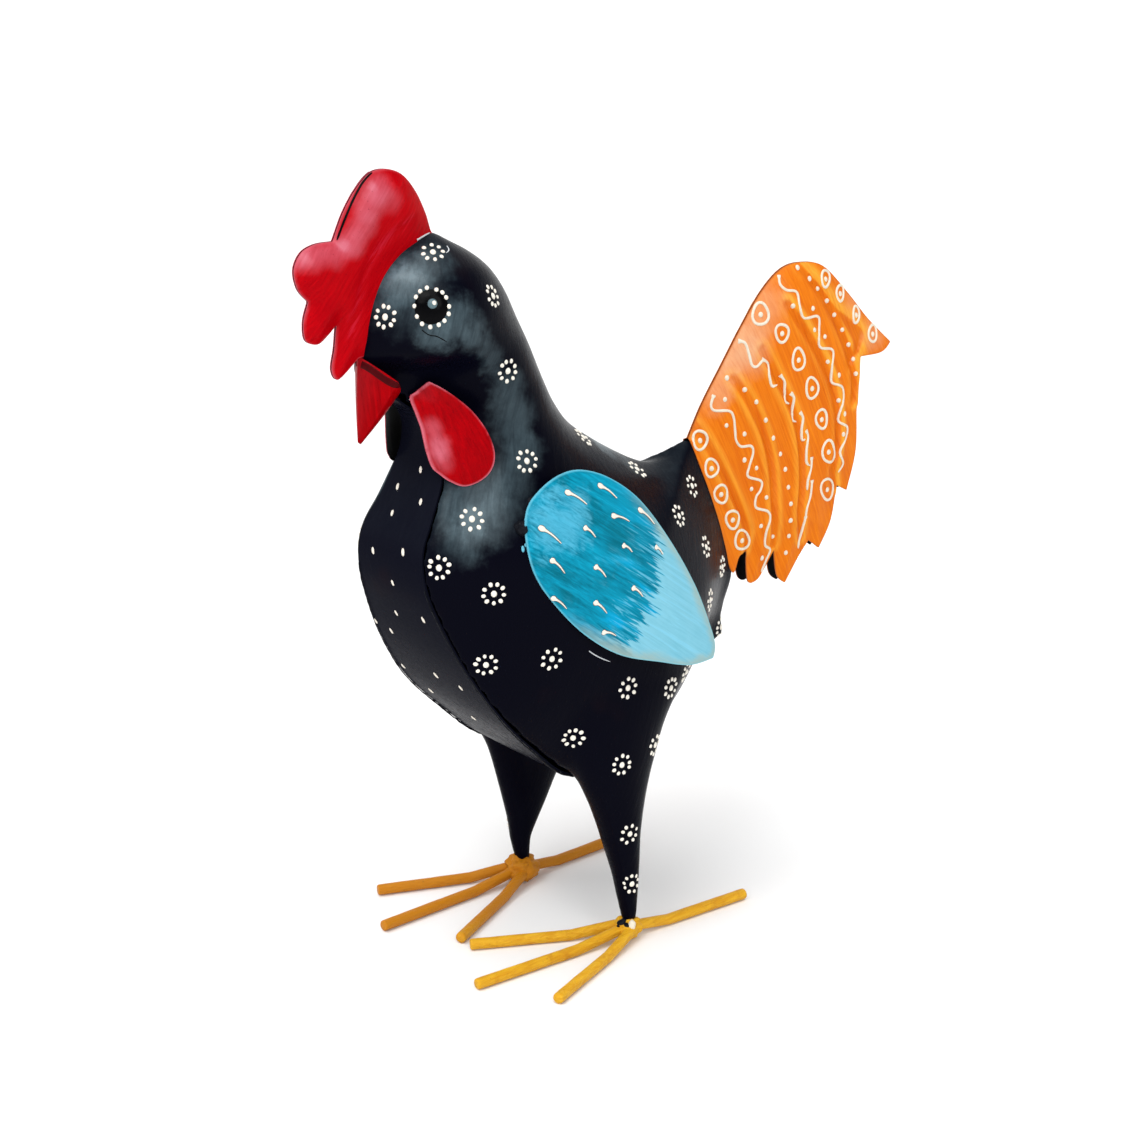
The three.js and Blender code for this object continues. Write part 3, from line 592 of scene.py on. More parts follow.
def strip_points(set_in, rows=190, columns=15):
    """A grid on the band, set in from the front edge by so many mm."""
    s = np.linspace(STRIP_FROM, STRIP_TO, rows)
    edge = station_at(s)
    x, z, half = edge[0], edge[1], edge[4] - STRIP_GAP
    along_x, along_z = np.gradient(x), np.gradient(z)
    length = np.hypot(along_x, along_z)
    share = np.linspace(-1, 1, columns)
    inward = (set_in - STRIP_CROWN * (1 - share[None] ** 2)) * np.ones((rows, 1))
    px = x[:, None] - (along_z / length)[:, None] * inward
    pz = z[:, None] + (along_x / length)[:, None] * inward
    return np.stack([px, half[:, None] * share[None], pz], -1)


strip_outer = strip_points(STRIP_SET_IN)
strip_skin = slab_between(strip_outer, strip_points(STRIP_SET_IN + STRIP_THICK))
print("strip is", round(float(np.ptp(strip_outer[..., 1])), 1), "mm wide")

# %% [markdown]
# ## Dished sheets
# Comb, wattles, wings and tail were cut from flat sheet and hammered hollow. Each is given
# here by its outline and by how far its face stands from the middle plane. The outline is
# filled with a fine net of triangles, and the sheet gets a real thickness, a slightly
# rolled edge and its own paint on face, cut edge and inside.

# %% Outlines and distances
def run(points, steps=10):
    """A smooth open line through the points."""
    return catmull(points, np.linspace(0, 1, steps * (len(points) - 1) + 1), clamped=True)


def outline(*runs):
    """A closed line from several runs, with no point twice."""
    points = np.vstack(runs)
    return points[np.linalg.norm(points - np.roll(points, 1, 0), axis=1) > 0.05]


def nearest(line, x, z):
    """Distance to an open line of points, and on which side of it each place lies."""
    x, z = np.asarray(x, float).ravel(), np.asarray(z, float).ravel()
    best, side = np.full(x.shape, 1e9), np.ones(x.shape)
    for a, b in zip(line[:-1], line[1:]):
        ex, ez = b - a
        t = np.clip(((x - a[0]) * ex + (z - a[1]) * ez) / (ex * ex + ez * ez), 0, 1)
        gap = np.hypot(x - a[0] - t * ex, z - a[1] - t * ez)
        closer = gap < best
        best[closer] = gap[closer]
        side[closer] = np.sign(ex * (z - a[1]) - ez * (x - a[0]))[closer]
    return best, side


def dome(edge, radius):
    """A function of x and z: 0 on the edge, rising to 1 at the radius inward from it."""
    closed = np.vstack([edge, edge[:1]])
    return lambda x, z: np.sin(np.minimum(nearest(closed, x, z)[0] / radius, 1) * np.pi / 2)


def seen_on(plane_y, *pixels):
    """Where places of the picture lie on an upright plane y = plane_y: x and z in drawing mm."""
    places = []
    for px, py in pixels:
        ray = sight_line(px, py)
        point = eye_point + ray * ((plane_y * MM - eye_point.y) / ray.y)
        places.append(((point.x - LEGS_X) / MM, point.z / MM))
    return np.array(places)


print("a comb pixel lies at", seen_on(-6, (330, 260)).round(1))

# %% [markdown]
# ## A net inside an outline
# The net is a triangulated pattern of rows, like a honeycomb, with the outline's own points
# as its border. Delaunay's rule picks the roundest triangles, so gloss paint shows no long
# slivers. Each point also keeps how far it is from the rim, for the worn edges.

# %% Net of triangles
def inside_outline(edge, x, z):
    """Which places lie inside a closed line: a ray from them crosses it an odd number of times."""
    inside = np.zeros(x.shape, bool)
    for a, b in zip(edge, np.roll(edge, -1, 0)):
        crosses = (a[1] > z) != (b[1] > z)
        with np.errstate(divide="ignore", invalid="ignore"):
            at = (b[0] - a[0]) * (z - a[1]) / (b[1] - a[1]) + a[0]
        inside ^= crosses & (x < at)
    return inside


def evened(edge, spacing):
    """The same closed line with evenly spaced points."""
    closed = np.vstack([edge, edge[:1]])
    way = np.concatenate([[0], np.cumsum(np.linalg.norm(np.diff(closed, axis=0), axis=1))])
    at = np.linspace(0, way[-1], int(way[-1] / spacing), endpoint=False)
    return np.stack([np.interp(at, way, closed[:, k]) for k in range(2)], 1)


def net(edge, spacing):
    """Flat points and triangles inside an outline, and each point's distance to the rim."""
    x, z = np.meshgrid(np.arange(edge[:, 0].min(), edge[:, 0].max(), spacing),
                       np.arange(edge[:, 1].min(), edge[:, 1].max(), spacing * 0.87))
    x = x + (np.arange(len(x)) % 2)[:, None] * spacing / 2
    x, z = x.ravel(), z.ravel()
    closed = np.vstack([edge, edge[:1]])
    keep = inside_outline(edge, x, z)
    keep[keep] = nearest(closed, x[keep], z[keep])[0] > spacing * 0.6
    flat = np.vstack([edge, np.stack([x[keep], z[keep]], 1)])
    count = len(edge)
    around = [(i, (i + 1) % count) for i in range(count)]
    flat_points, _, faces, *_ = delaunay_2d_cdt([Vector(p) for p in flat], around, [], 1, 1e-5)
    flat = np.array(flat_points)
    area = sum(np.cross(flat[f[1]] - flat[f[0]], flat[f[2]] - flat[f[0]]) for f in faces)
    faces = [tuple(f) if area > 0 else tuple(f)[::-1] for f in faces]
    return flat, faces, nearest(closed, flat[:, 0], flat[:, 1])[0]


print("a net of triangles fills each outline")

# %% [markdown]
# ## From a net to a sheet
# The net is pushed out to its depth for the face and a millimetre less for the inside, and
# a wall closes the rim. Face, cut edge and inside get three finishes, because the maker
# paints the face, wears the edge and leaves the inside black.

# %% Dished sheet
SHEET_THICK, RIM_STEP, ROLLED, ROLLED_OVER, RIM_KNOWN_TO = 1.0, 1.1, 0.35, 1.2, 30
FACE, CUT_EDGE, INSIDE = 0, 1, 2


def dished(edge, depth_at, spacing=1.7, fold_at=None):
    """Points, faces and paints of a hollow sheet, its front alone, and the fields of its points."""
    flat, faces, rim = net(evened(edge, RIM_STEP), spacing)
    deep = depth_at(flat[:, 0], flat[:, 1])
    rolled = ROLLED * np.clip(1 - rim / ROLLED_OVER, 0, 1) ** 2
    front = np.stack([flat[:, 0], -(deep - rolled), flat[:, 1]], 1)
    back = np.stack([flat[:, 0], -(deep - SHEET_THICK), flat[:, 1]], 1)
    sides = [pair for f in faces for pair in zip(f, f[1:] + f[:1])]
    used, total = set(sides), len(flat)
    walls = [(b, a, a + total, b + total) for a, b in sides if (b, a) not in used]
    points = np.vstack([front, back])
    all_faces = faces + [tuple(i + total for i in f[::-1]) for f in faces] + walls
    paints = [FACE] * len(faces) + [INSIDE] * len(faces) + [CUT_EDGE] * len(walls)
    fold = fold_at(flat[:, 0], flat[:, 1]) if fold_at else np.zeros(total)
    fields = {"rim": np.tile(np.minimum(rim, RIM_KNOWN_TO), 2), "fold": np.tile(fold, 2)}
    return points, all_faces, paints, (front, faces), fields


print("sheets are", SHEET_THICK, "mm thick")

# %% [markdown]
# ## Comb halves
# The comb is two sheets with four puffed lobes, flatter where they lie against the head. A
# crease runs down between lobes and head, left by the hammer. The outline was drawn beside
# the photograph.

# %% Comb halves
COMB_EDGE = outline(
    run([(-86, 379), (-86.8, 384.6), (-89.2, 389.1), (-92, 397.7), (-97.6, 408.7), (-105, 417.2),
         (-113.5, 420.7), (-122.7, 420.1), (-131, 413.5), (-138.8, 403.1), (-145.2, 390)]),
    run([(-145.2, 390), (-155.2, 389.8), (-163, 386.7), (-167.2, 379.1), (-165.4, 369.7), (-159.8, 363.1)]),
    run([(-159.8, 363.1), (-162.8, 354.2), (-162.1, 345), (-155.8, 342.2), (-150.3, 345.2), (-144.6, 350.2)]),
    run([(-144.6, 350.2), (-146.1, 338.5), (-148, 329.3), (-146, 323.8), (-142.3, 324.5), (-132.9, 332)]),
)
COMB_BASE = run([(-132.9, 332), (-125, 336), (-119, 356), (-107, 371), (-95, 378), (-86, 379)])
HEAD_FRONT = run([(-132.5, 332), (-131, 345), (-126.9, 359.5), (-119.6, 371.1), (-107.7, 381), (-88.7, 388)])
COMB_CREASE = seen_on(-5, (412, 219), (390, 236), (373, 253), (364, 271), (359, 301), (352, 333))


def comb_depth(x, z):
    """Puffed lobes, flatter by the head and along the crease."""
    share = np.minimum(nearest(COMB_EDGE, x, z)[0] / 13, 1)
    near_head = np.exp(-((nearest(HEAD_FRONT, x, z)[0] / 14) ** 2))
    crease = np.exp(-((nearest(COMB_CREASE, x, z)[0] / 2.2) ** 2))
    return 1.35 + 5.9 * np.sin(share * np.pi / 2) * (1 - 0.45 * near_head - 0.09 * crease)


def comb_fold(x, z):
    """-1 in the crease, 0 away from it."""
    return -np.exp(-((nearest(COMB_CREASE, x, z)[0] / 2.6) ** 2))


comb_sheet = dished(outline(COMB_EDGE, COMB_BASE), comb_depth, 1.5, fold_at=comb_fold)
print("comb half has", len(comb_sheet[1]), "faces")

# %% [markdown]
# ## Wattles and wings
# These are hollow leaves that lean outward. Each is moved sideways until it just touches
# the body, as a sheet does when it is held against a form to be welded, so it needs no
# measured place of its own.

# %% Wattles and wings
SEAT_PLACES = flank(*np.meshgrid(np.linspace(0, 1, 161), np.linspace(0, 1, 81), indexing="ij")).reshape(-1, 3)
NEAR_ENOUGH = 3.0


def seated(edge, depth_at):
    """The same depth, moved out until the sheet's inside touches the body at one place of its edge."""
    lifts = []
    for x, z in edge:
        away = np.hypot(SEAT_PLACES[:, 0] - x, SEAT_PLACES[:, 2] - z)
        body_depth = -SEAT_PLACES[away.argmin(), 1] if away.min() < NEAR_ENOUGH else 0
        lifts.append(body_depth - (float(depth_at(x, z)[0]) - SHEET_THICK))
    return lambda x, z: depth_at(x, z) + max(lifts)


WATTLE_POINTS = [
    (-103.2, 319.2), (-98.3, 315.9), (-93, 311), (-87.6, 304.6), (-82.8, 295.5), (-80.2, 285.1),
    (-81.3, 276.6), (-85.7, 270.4), (-92.2, 267.3), (-97.7, 269.8), (-101.3, 273.3), (-103.8, 276.5),
    (-105.5, 283.5), (-106.4, 289.9), (-107.2, 296.4), (-108.9, 303.6), (-110.6, 311.3), (-108.1, 314.1),
    (-103.2, 319.2)]
WING_POINTS = [
    (32.9, 161.7), (17.8, 161.2), (-0.9, 166.7), (-25.2, 175.3), (-45, 189.5), (-60.9, 207.7),
    (-70.7, 224.5), (-73.6, 242.4), (-71.1, 256.7), (-62.3, 264.9), (-49.7, 270.3), (-36.4, 270.6),
    (-20.1, 263.9), (-3.2, 250), (12.9, 226.8), (25.9, 201.2), (33, 179), (35, 168.1), (32.9, 161.7)]


def leaf(points, spread, flare, top, dish, radius):
    """A hollow leaf that leans outward: its outline, and its depth when seated on the body."""
    coarse, fine = outline(run(points, 2)), outline(run(points, 10))
    swell = dome(fine, radius)
    lean = lambda x, z: spread * np.ravel(x) + flare * (top - np.ravel(z)) + dish * swell(x, z)
    return fine, seated(coarse, lean)


WATTLE_EDGE, wattle_depth = leaf(WATTLE_POINTS, 0.83, 0.07, 320, 4.5, 16)
WING_EDGE, wing_depth = leaf(WING_POINTS, 0.06, 0.17, 247, 8, 34)
wattle_sheet = dished(WATTLE_EDGE, wattle_depth, 1.3)
wing_sheet = dished(WING_EDGE, wing_depth, 1.9)
print("wing stands out to", round(float(-wing_sheet[0][:, 1].min()), 1), "mm")

# %% [markdown]
# ## Tail halves
# Each tail half is one sheet cut into pointed lobes. The two are welded along the leading
# edge, stand apart behind and lap over the rump. Feather lines were pressed in with a blunt
# chisel: a groove with a soft ridge beside it, and one step where the long feather curls.

# %% Outline of the tail
TAIL_LEADING = run([(78.6, 254.5), (88.5, 272.3), (102.5, 292.2), (116.6, 312), (130.6, 329.2), (144.6, 339.6),
                    (158.9, 341.6), (176.5, 337.3), (196.2, 320), (213, 302.9), (232.4, 286.3)])
TAIL_LOBES = outline(
    run([(232.4, 286.3), (221.8, 282.3), (202.4, 283.1)]),
    run([(202.4, 283.1), (200.5, 258.5), (201.3, 228.9), (195.3, 206.3)]),
    run([(195.3, 206.3), (187, 210.8)]), run([(187, 210.8), (183.3, 190.7), (174.4, 175.7)]),
    run([(174.4, 175.7), (166.2, 182.1)]), run([(166.2, 182.1), (158.8, 174.2), (148.4, 160.2)]),
    run([(148.4, 160.2), (141.9, 166.3), (139, 181.7)]),
    run([(139, 181.7), (128, 167.5), (121.3, 166.5), (119.2, 184.7)]),
)
TAIL_LOBES = TAIL_LOBES + np.array([3.2, -1.7]) * (np.clip((270 - TAIL_LOBES[:, 1:]) / 60, 0, 1)
                                                   * np.clip((TAIL_LOBES[:, :1] - 119.2) / 8, 0, 1))
TAIL_BASE = run([(119.2, 184.7), (112.5, 183.7), (106.7, 175.6), (95, 207.5), (84.5, 235), (78.6, 254.5)])
print("tail lobes:", len(TAIL_LOBES), "points")

# %% Pressed feather lines
FOLDS = [
    ((700, 425), (712, 447), (730, 487), (743, 518), (749, 537), (748, 548)),
    ((738, 380), (746, 393), (762, 428), (771, 466), (774, 508), (777, 545)),
    ((765, 350), (776, 375), (792, 410), (800, 442), (802, 480), (800, 512), (803, 537)),
    ((790, 305), (809, 336), (823, 362), (833, 390), (838, 420), (838, 445), (834, 470), (838, 488)),
    ((806, 268), (820, 287), (832, 308), (843, 334), (851, 357), (855, 381), (854, 400)),
    ((818, 280), (826, 290), (837, 305), (849, 317), (858, 324), (867, 334), (862, 348), (857, 357)),
]
TAIL_FOLDS = [seen_on(-8, *fold) for fold in FOLDS]


def feathers(x, z):
    """Height of the pressed lines in mm: below 0 in a groove, above 0 on a ridge."""
    relief = np.zeros(np.shape(np.ravel(x)))
    for number, fold in enumerate(TAIL_FOLDS):
        line = run([tuple(p) for p in fold], 4)
        gap, side = nearest(line, x, z)
        if number < len(TAIL_FOLDS) - 1:
            relief = relief - 1.5 * np.exp(-((gap / 1.9) ** 2))
            ridge = np.where(side > 0, 1.3, 0.4) if number > 2 else 0.8
            relief = relief + ridge * np.exp(-(((gap - 4) / 2.4) ** 2))
        else:
            relief = relief + np.where(side > 0, 1.5, -1.3) * np.exp(-((gap / 6) ** 2)) * np.tanh(gap / 0.8)
    return relief


print("feather lines:", len(TAIL_FOLDS))

# %% Tail sheet
NO_BODY, LAP, RUMP_ENDS = -9.0, 0.7, 120


def on_rump(x, z):
    """How far out the body's own surface lies where the tail laps over it."""
    depth = np.full(np.shape(x), NO_BODY)
    for i in np.flatnonzero(x < RUMP_ENDS):
        hit = flank_tree.ray_cast(Vector((x[i], -200, z[i])), Vector((0, 1, 0)))[0]
        depth[i] = LAP - hit.y if hit else NO_BODY
    return depth


def tail_depth(x, z):
    """How far a tail half stands out: closed along its leading edge, laid over the rump."""
    x, z = np.ravel(x).astype(float), np.ravel(z).astype(float)
    closing = 1 - np.exp(-nearest(TAIL_LEADING, x, z)[0] / 16)
    low = np.clip((270 - z) / 60, 0, 1) * np.clip((x - 112) / 12, 0, 1)
    drawn_in = 1 - 0.6 * low * np.exp(-((nearest(TAIL_LOBES, x, z)[0] / 14) ** 2))
    return np.maximum(1.2 + (7 + feathers(x, z)) * closing * drawn_in, on_rump(x, z))


tail_sheet = dished(outline(TAIL_LEADING, TAIL_LOBES, TAIL_BASE), tail_depth, 1.6, fold_at=feathers)
print("tail half has", len(tail_sheet[1]), "faces")

# %% [markdown]
# ## The studio
# The bird stands on a wide white floor. The light is soft: a broad one from the upper left
# that adds gloss to comb, head and breast on top of the sheen painted into their colours, one
# from above the camera, a faint one from behind, and white all round near the horizon.
# Distant suns with a wide angle light the floor evenly out to the horizon, so it stays white
# from every side.

# %% Floor, surroundings and lamps
paper = Finish("white_paper")
paper.height(paper.noise(900, 2), 0.00005)
paper.set(Base_Color=(0.93, 0.93, 0.93), Roughness=0.9, Specular_IOR_Level=0.1)
HALF_FLOOR, FLOOR_Z = 60, -0.0003
corners = [(x * HALF_FLOOR, y * HALF_FLOOR, FLOOR_Z) for x, y in ((-1, -1), (1, -1), (1, 1), (-1, 1))]
floor = new_piece("floor", corners, [(0, 1, 2, 3)], [paper.material])

world = bpy.data.worlds.new("white_room")
world.use_nodes = True
bpy.context.scene.world = world
room = Nodes(world.node_tree)
way_out = room.node("ShaderNodeTexCoord")["Generated"]
upness = room.node("ShaderNodeSeparateXYZ", None, {0: way_out})["Z"]
values = {"Value": upness, "From Min": 0.12, "From Max": 0.45, "To Min": 1.0, "To Max": 0.3}
sky_band = room.node("ShaderNodeMapRange", None, values)[0]
background = world.node_tree.nodes["Background"]
room.link(background.inputs["Strength"], sky_band)
room.link(background.inputs["Color"], (1, 1, 1))
bpy.context.scene.view_settings.view_transform = "Standard"


def soft_sun(name, azimuth, elevation, wide, strength):
    """Even light from one direction, as wide in degrees as a large lamp looks."""
    toward = direction(azimuth, elevation)
    data = bpy.data.lights.new(name, "SUN")
    data.angle, data.energy = math.radians(wide), strength
    made = bpy.data.objects.new(name, data)
    made.location = toward * 2
    made.rotation_euler = (-toward).to_track_quat("-Z", "Y").to_euler()
    bpy.context.scene.collection.objects.link(made)


soft_sun("top_light", -75, 74, 55, 2.0)
soft_sun("left_light", -74, 47, 36, 0.8)
soft_sun("front_light", -22, 37, 34, 0.75)
soft_sun("back_light", 125, 40, 50, 0.4)
print("four soft lights over a white floor")

# %% [markdown]
# ## What brushes leave, and where sheen is painted
# Brush marks are noise that is fine across the stroke and long along it. Painted sheen and wear
# sit on places and directions, so they are measured in the object's own frame: they stay put
# from every side. The places are folded onto the left side, so the right side gets the same.

# %% Streaks, directions and patches
def axis(finish, way):
    """How far a place lies along a direction."""
    return finish.vector("DOT_PRODUCT", finish.place, way, "Value")


def streaks(finish, along, fine, long, detail=3, distortion=0.0):
    """Brush marks that run along (x, z): fine marks per metre across, long ones along."""
    length = math.hypot(*along)
    ax, az = along[0] / length, along[1] / length
    values = {0: axis(finish, (ax, 0, az)) * long, 1: axis(finish, (0, 1, 0)) * fine * 0.5,
              2: axis(finish, (-az, 0, ax)) * fine}
    where = finish.node("ShaderNodeCombineXYZ", None, values)[0]
    values = {"Vector": where, "Scale": 1.0, "Detail": detail, "Roughness": 0.6, "Distortion": distortion}
    return finish.node("ShaderNodeTexNoise", None, values)[0]


def facing(finish, way):
    """How far the surface faces a fixed direction, from -1 to 1."""
    normal = finish.node("ShaderNodeNewGeometry")["Normal"]
    return finish.vector("DOT_PRODUCT", normal, Vector(way).normalized(), "Value")


def both_sides(finish):
    """Places with the bird's right side folded onto its left."""
    parts = finish.node("ShaderNodeSeparateXYZ", None, {0: finish.place})
    depth = finish.node("ShaderNodeMath", {"operation": "ABSOLUTE"}, {0: parts["Y"]})[0]
    return finish.node("ShaderNodeCombineXYZ", None, {0: parts["X"], 1: depth * -1, 2: parts["Z"]})[0]


def patch(finish, folded, where, radius):
    """1 in the middle of a soft patch, 0 at its edge."""
    return (1 - finish.vector("DISTANCE", folded, where, "Value") / radius).clamp()


def with_patches(finish, folded, total, spots, widen, soft=0.85):
    """A sum with soft patches added: each spot is its place, its radius and how much it adds."""
    for where, radius, amount in spots:
        total = total + patch(finish, folded, where, radius * widen).step(0.0, soft) * amount
    return total


def frayed(finish, folded, amount):
    """The same places, shifted about so that what is measured from them gets a ragged edge."""
    values = {"Vector": folded, "Scale": 75.0, "Detail": 4.0, "Roughness": 0.65}
    cloud = finish.node("ShaderNodeTexNoise", None, values)["Color"]
    values = {0: finish.vector("SUBTRACT", cloud, (0.5, 0.5, 0.5)), "Scale": amount}
    shift = finish.node("ShaderNodeVectorMath", {"operation": "SCALE"}, values)[0]
    return finish.vector("ADD", folded, shift)


print("brush marks and wear ready")

# %% [markdown]
# ## Black lacquer
# The body is brushed with black enamel. It is almost black in the hollows and on the sides,
# with a blue-grey sheen painted into the colour on faces turned up or back and at a list of
# soft patches on head, neck, breast and back, and a little brown where the coat is thin.
# Gloss is a thin clear coat on the painted sheen, and the bare black reflects little, as deep
# lacquer does in a white room.

# %% Places of painted sheen
def on_flank(px, py):
    """The place on the near side that a pixel shows."""
    ray = sight_line(px, py)
    place = side_tree.ray_cast(eye_point, ray)[0] or side_tree.find_nearest(eye_point + ray * 1.3)[0]
    return tuple(place)


side_tree = tree_of(*skins["left"][:2])
# pixel, radius in metres, how strong the painted sheen is
SHEEN_PIXELS = [
    ((400, 280), 0.015, 0.55), ((405, 294), 0.019, 0.25), ((428, 262), 0.013, 0.3), ((455, 322), 0.012, 0.5),
    ((432, 334), 0.010, 0.4), ((478, 338), 0.010, 0.4), ((492, 361), 0.009, 0.3), ((506, 388), 0.010, 0.3),
    ((514, 418), 0.013, 0.35), ((523, 452), 0.012, 0.35), ((502, 486), 0.016, 0.35), ((474, 511), 0.020, 0.42),
    ((464, 538), 0.014, 0.25), ((448, 503), 0.010, 0.15), ((583, 424), 0.012, 0.42), ((604, 446), 0.011, 0.4),
    ((628, 462), 0.008, 0.2), ((402, 275), 0.006, 0.4), ((470, 522), 0.008, 0.3), ((724, 612), 0.009, 0.15)]
SHEEN_PATCHES = [(on_flank(*pixel), radius, amount) for pixel, radius, amount in SHEEN_PIXELS]
print("wiped places:", len(SHEEN_PATCHES))

# %% Black lacquer
def black_lacquer(name, deep, sheen_colour, sheen_patches, base_sheen, depth, gloss=0.016):
    """Two blacks and a painted blue-grey sheen on them. Depth is that of the brush marks in metres."""
    finish = Finish(name)
    cloud = finish.noise(34, 5, 0.65, distortion=0.8).strong(2.2)
    marks = streaks(finish, (0.35, 1), 420, 34, 4, 0.6).strong(2.6)
    fine_marks = streaks(finish, (-0.5, 1), 1500, 90, 2)
    folded = frayed(finish, both_sides(finish), 0.022)
    # painted sheen: blue-grey on faces turned up, a little on faces turned back, and at the listed patches
    grey_sheen = facing(finish, (-0.3, 0, 1)).step(0.35, 1.1) * base_sheen
    grey_sheen = grey_sheen + facing(finish, (0.9, 0, -0.2)).step(0.0, 1.0) * 0.05
    grey_sheen = with_patches(finish, folded, grey_sheen, sheen_patches, 1.35)
    grey_sheen = (grey_sheen * (cloud * 0.5 + marks * 0.45 + 0.4)).clamp()
    thin = finish.noise(19, 3, 0.5, turn=(0.4, 0.2, 1.0)).step(0.6, 0.74) * (1 - grey_sheen) * 0.14
    colour = finish.mix(thin, deep, THIN_COAT)
    colour = finish.mix(grey_sheen, colour, sheen_colour)
    scuff = finish.noise(2400, 2, 0.5).step(0.66, 0.78) * grey_sheen
    finish.height(marks * 0.5 + fine_marks * 0.35 + cloud * 0.5, depth, 0.5)
    return finish.set(Base_Color=finish.mix(scuff * 0.4, colour, SCUFF_GREY),
                      Roughness=marks * 0.12 + grey_sheen * 0.1 + 0.2, Specular_IOR_Level=gloss,
                      Coat_Weight=(grey_sheen * 0.7 + gloss).clamp(), Coat_Roughness=0.2, Coat_IOR=1.4)


THIN_COAT, SCUFF_GREY = (0.020, 0.0058, 0.0048), (0.17, 0.22, 0.24)
# the grey colours below are painted sheen
BLUE_BLACK, SHEEN_GREY = (0.0016, 0.0017, 0.0052), (0.094, 0.146, 0.172)
BAND_BLACK, BAND_SHEEN_GREY = (0.0042, 0.0047, 0.0100), (0.015, 0.020, 0.030)
BODY_BLACK = black_lacquer("body_black", BLUE_BLACK, SHEEN_GREY, SHEEN_PATCHES, 0.08, 0.0003)
BREAST_BLACK = black_lacquer("breast_black", BAND_BLACK, BAND_SHEEN_GREY, [], 0.2, 0.0001, 0.004)
print("lacquers:", BODY_BLACK.name, BREAST_BLACK.name)

# %% [markdown]
# ## Red enamel
# Comb, beak and wattles carry a thick, semi-gloss red. Up close it is never one red: brush
# marks lie a shade darker, a dry brush has dragged pink into the crease, and cut edges have
# gone pink. A pink sheen is painted into the colour on faces turned up and left and at listed
# places. Each piece gets its own reds and its own places of painted sheen.

# %% Red enamel
# the first pink is a painted sheen; the edge pink is wear on the rim
SHEEN_PINK, DRAGGED_PINK = (0.56, 0.115, 0.165), (0.62, 0.03, 0.07)
EDGE_PINK, SPECK_RED = (0.70, 0.18, 0.24), (0.14, 0.0, 0.008)


def red_enamel(name, marks_along, edge_wear, sheen_places, deep, bright):
    """A red between a deep and a bright one, with painted pink sheen at listed places, worn pink on the rim."""
    finish = Finish(name)
    marks = streaks(finish, marks_along, 620, 40, 4, 0.4).strong(2.6)
    cloud = finish.noise(40, 4, 0.6, distortion=0.5).strong(2.2)
    fold, rim = finish.field("fold"), finish.field("rim")
    colour = finish.mix(marks * 0.6 + cloud * 0.4, deep, bright)
    folded = frayed(finish, both_sides(finish), 0.006)
    # painted pink sheen on faces turned up and left and at the listed places
    pink_sheen = facing(finish, (-0.6, 0, 0.6)).step(0.5, 1.1) * 0.2
    pink_sheen = with_patches(finish, folded, pink_sheen, sheen_places, MM)
    pink_sheen = (pink_sheen * (cloud * 0.25 + marks * 0.3 + 0.62)).clamp()
    colour = finish.mix(pink_sheen, colour, SHEEN_PINK)
    dry_brush = (0 - fold).clamp() * marks.step(0.45, 0.8) * 0.35
    colour = finish.mix(dry_brush, colour, DRAGGED_PINK)
    edge = (1 - rim / 1.1).clamp() * cloud.step(0.1, 0.6)
    colour = finish.mix(edge * edge_wear, colour, EDGE_PINK)
    speck = finish.noise(900, 1, 0.4).step(0.72, 0.78)
    finish.height(marks + cloud * 1.2, 0.0002, 0.5)
    return finish.set(Base_Color=finish.mix(speck * 0.45, colour, SPECK_RED),
                      Roughness=marks * 0.12 + cloud * 0.08 + 0.24, Specular_IOR_Level=0.02,
                      Coat_Weight=(pink_sheen * 0.6 + 0.01).clamp(), Coat_Roughness=0.28)


def on_sheet(depth_at, spots):
    """Pixels of soft patches on a hollow sheet, as places in the frame."""
    found = []
    for px, py, radius, amount in spots:
        depth = 10.0
        for _ in range(12):
            x, z = seen_on(-depth, (px, py))[0]
            depth = depth * 0.4 + float(depth_at(x, z)[0]) * 0.6
        found.append((tuple(to_frame([x, -depth, z])), radius, amount))
    return found


print("red enamel ready")

# %% The three reds
# pixel x and y, radius in mm, how strong the painted sheen is
COMB_SHEEN = [
    (378, 188, 11, 0.55), (370, 205, 11, 0.55), (364, 225, 10, 0.5), (352, 244, 10, 0.6), (334, 252, 11, 0.5),
    (312, 256, 11, 0.55), (298, 258, 9, 0.45), (372, 186, 4, 0.4), (344, 246, 4, 0.4), (392, 200, 9, 0.25)]
WATTLE_SHEEN = [(439, 448, 9, 0.75), (432, 428, 8, 0.4), (444, 462, 8, 0.3)]
COMB_RED = red_enamel("comb_red", (0.62, 0.78), 0.25, on_sheet(comb_depth, COMB_SHEEN),
                      (0.33, 0.0, 0.003), (0.54, 0.0008, 0.0045))
WATTLE_RED = red_enamel("wattle_red", (0.35, -1), 0.9, on_sheet(wattle_depth, WATTLE_SHEEN),
                        (0.22, 0.0, 0.002), (0.46, 0.0, 0.0028))
BEAK_RED = red_enamel("beak_red", (0.1, -1), 0.0, [], (0.20, 0.0, 0.0015), (0.44, 0.0, 0.0025))
print("reds:", COMB_RED.name, WATTLE_RED.name, BEAK_RED.name)

# %% [markdown]
# ## Wing blue
# The wing was brushed teal from the shoulder, and the brush ran dry over a sky-blue tip, so
# the two meet in long jagged fingers. A place is measured along and across the wing; noise
# that is fine across and long along shifts the meeting line back and forth. The line leans
# a little, because the brush left the rear edge sooner.

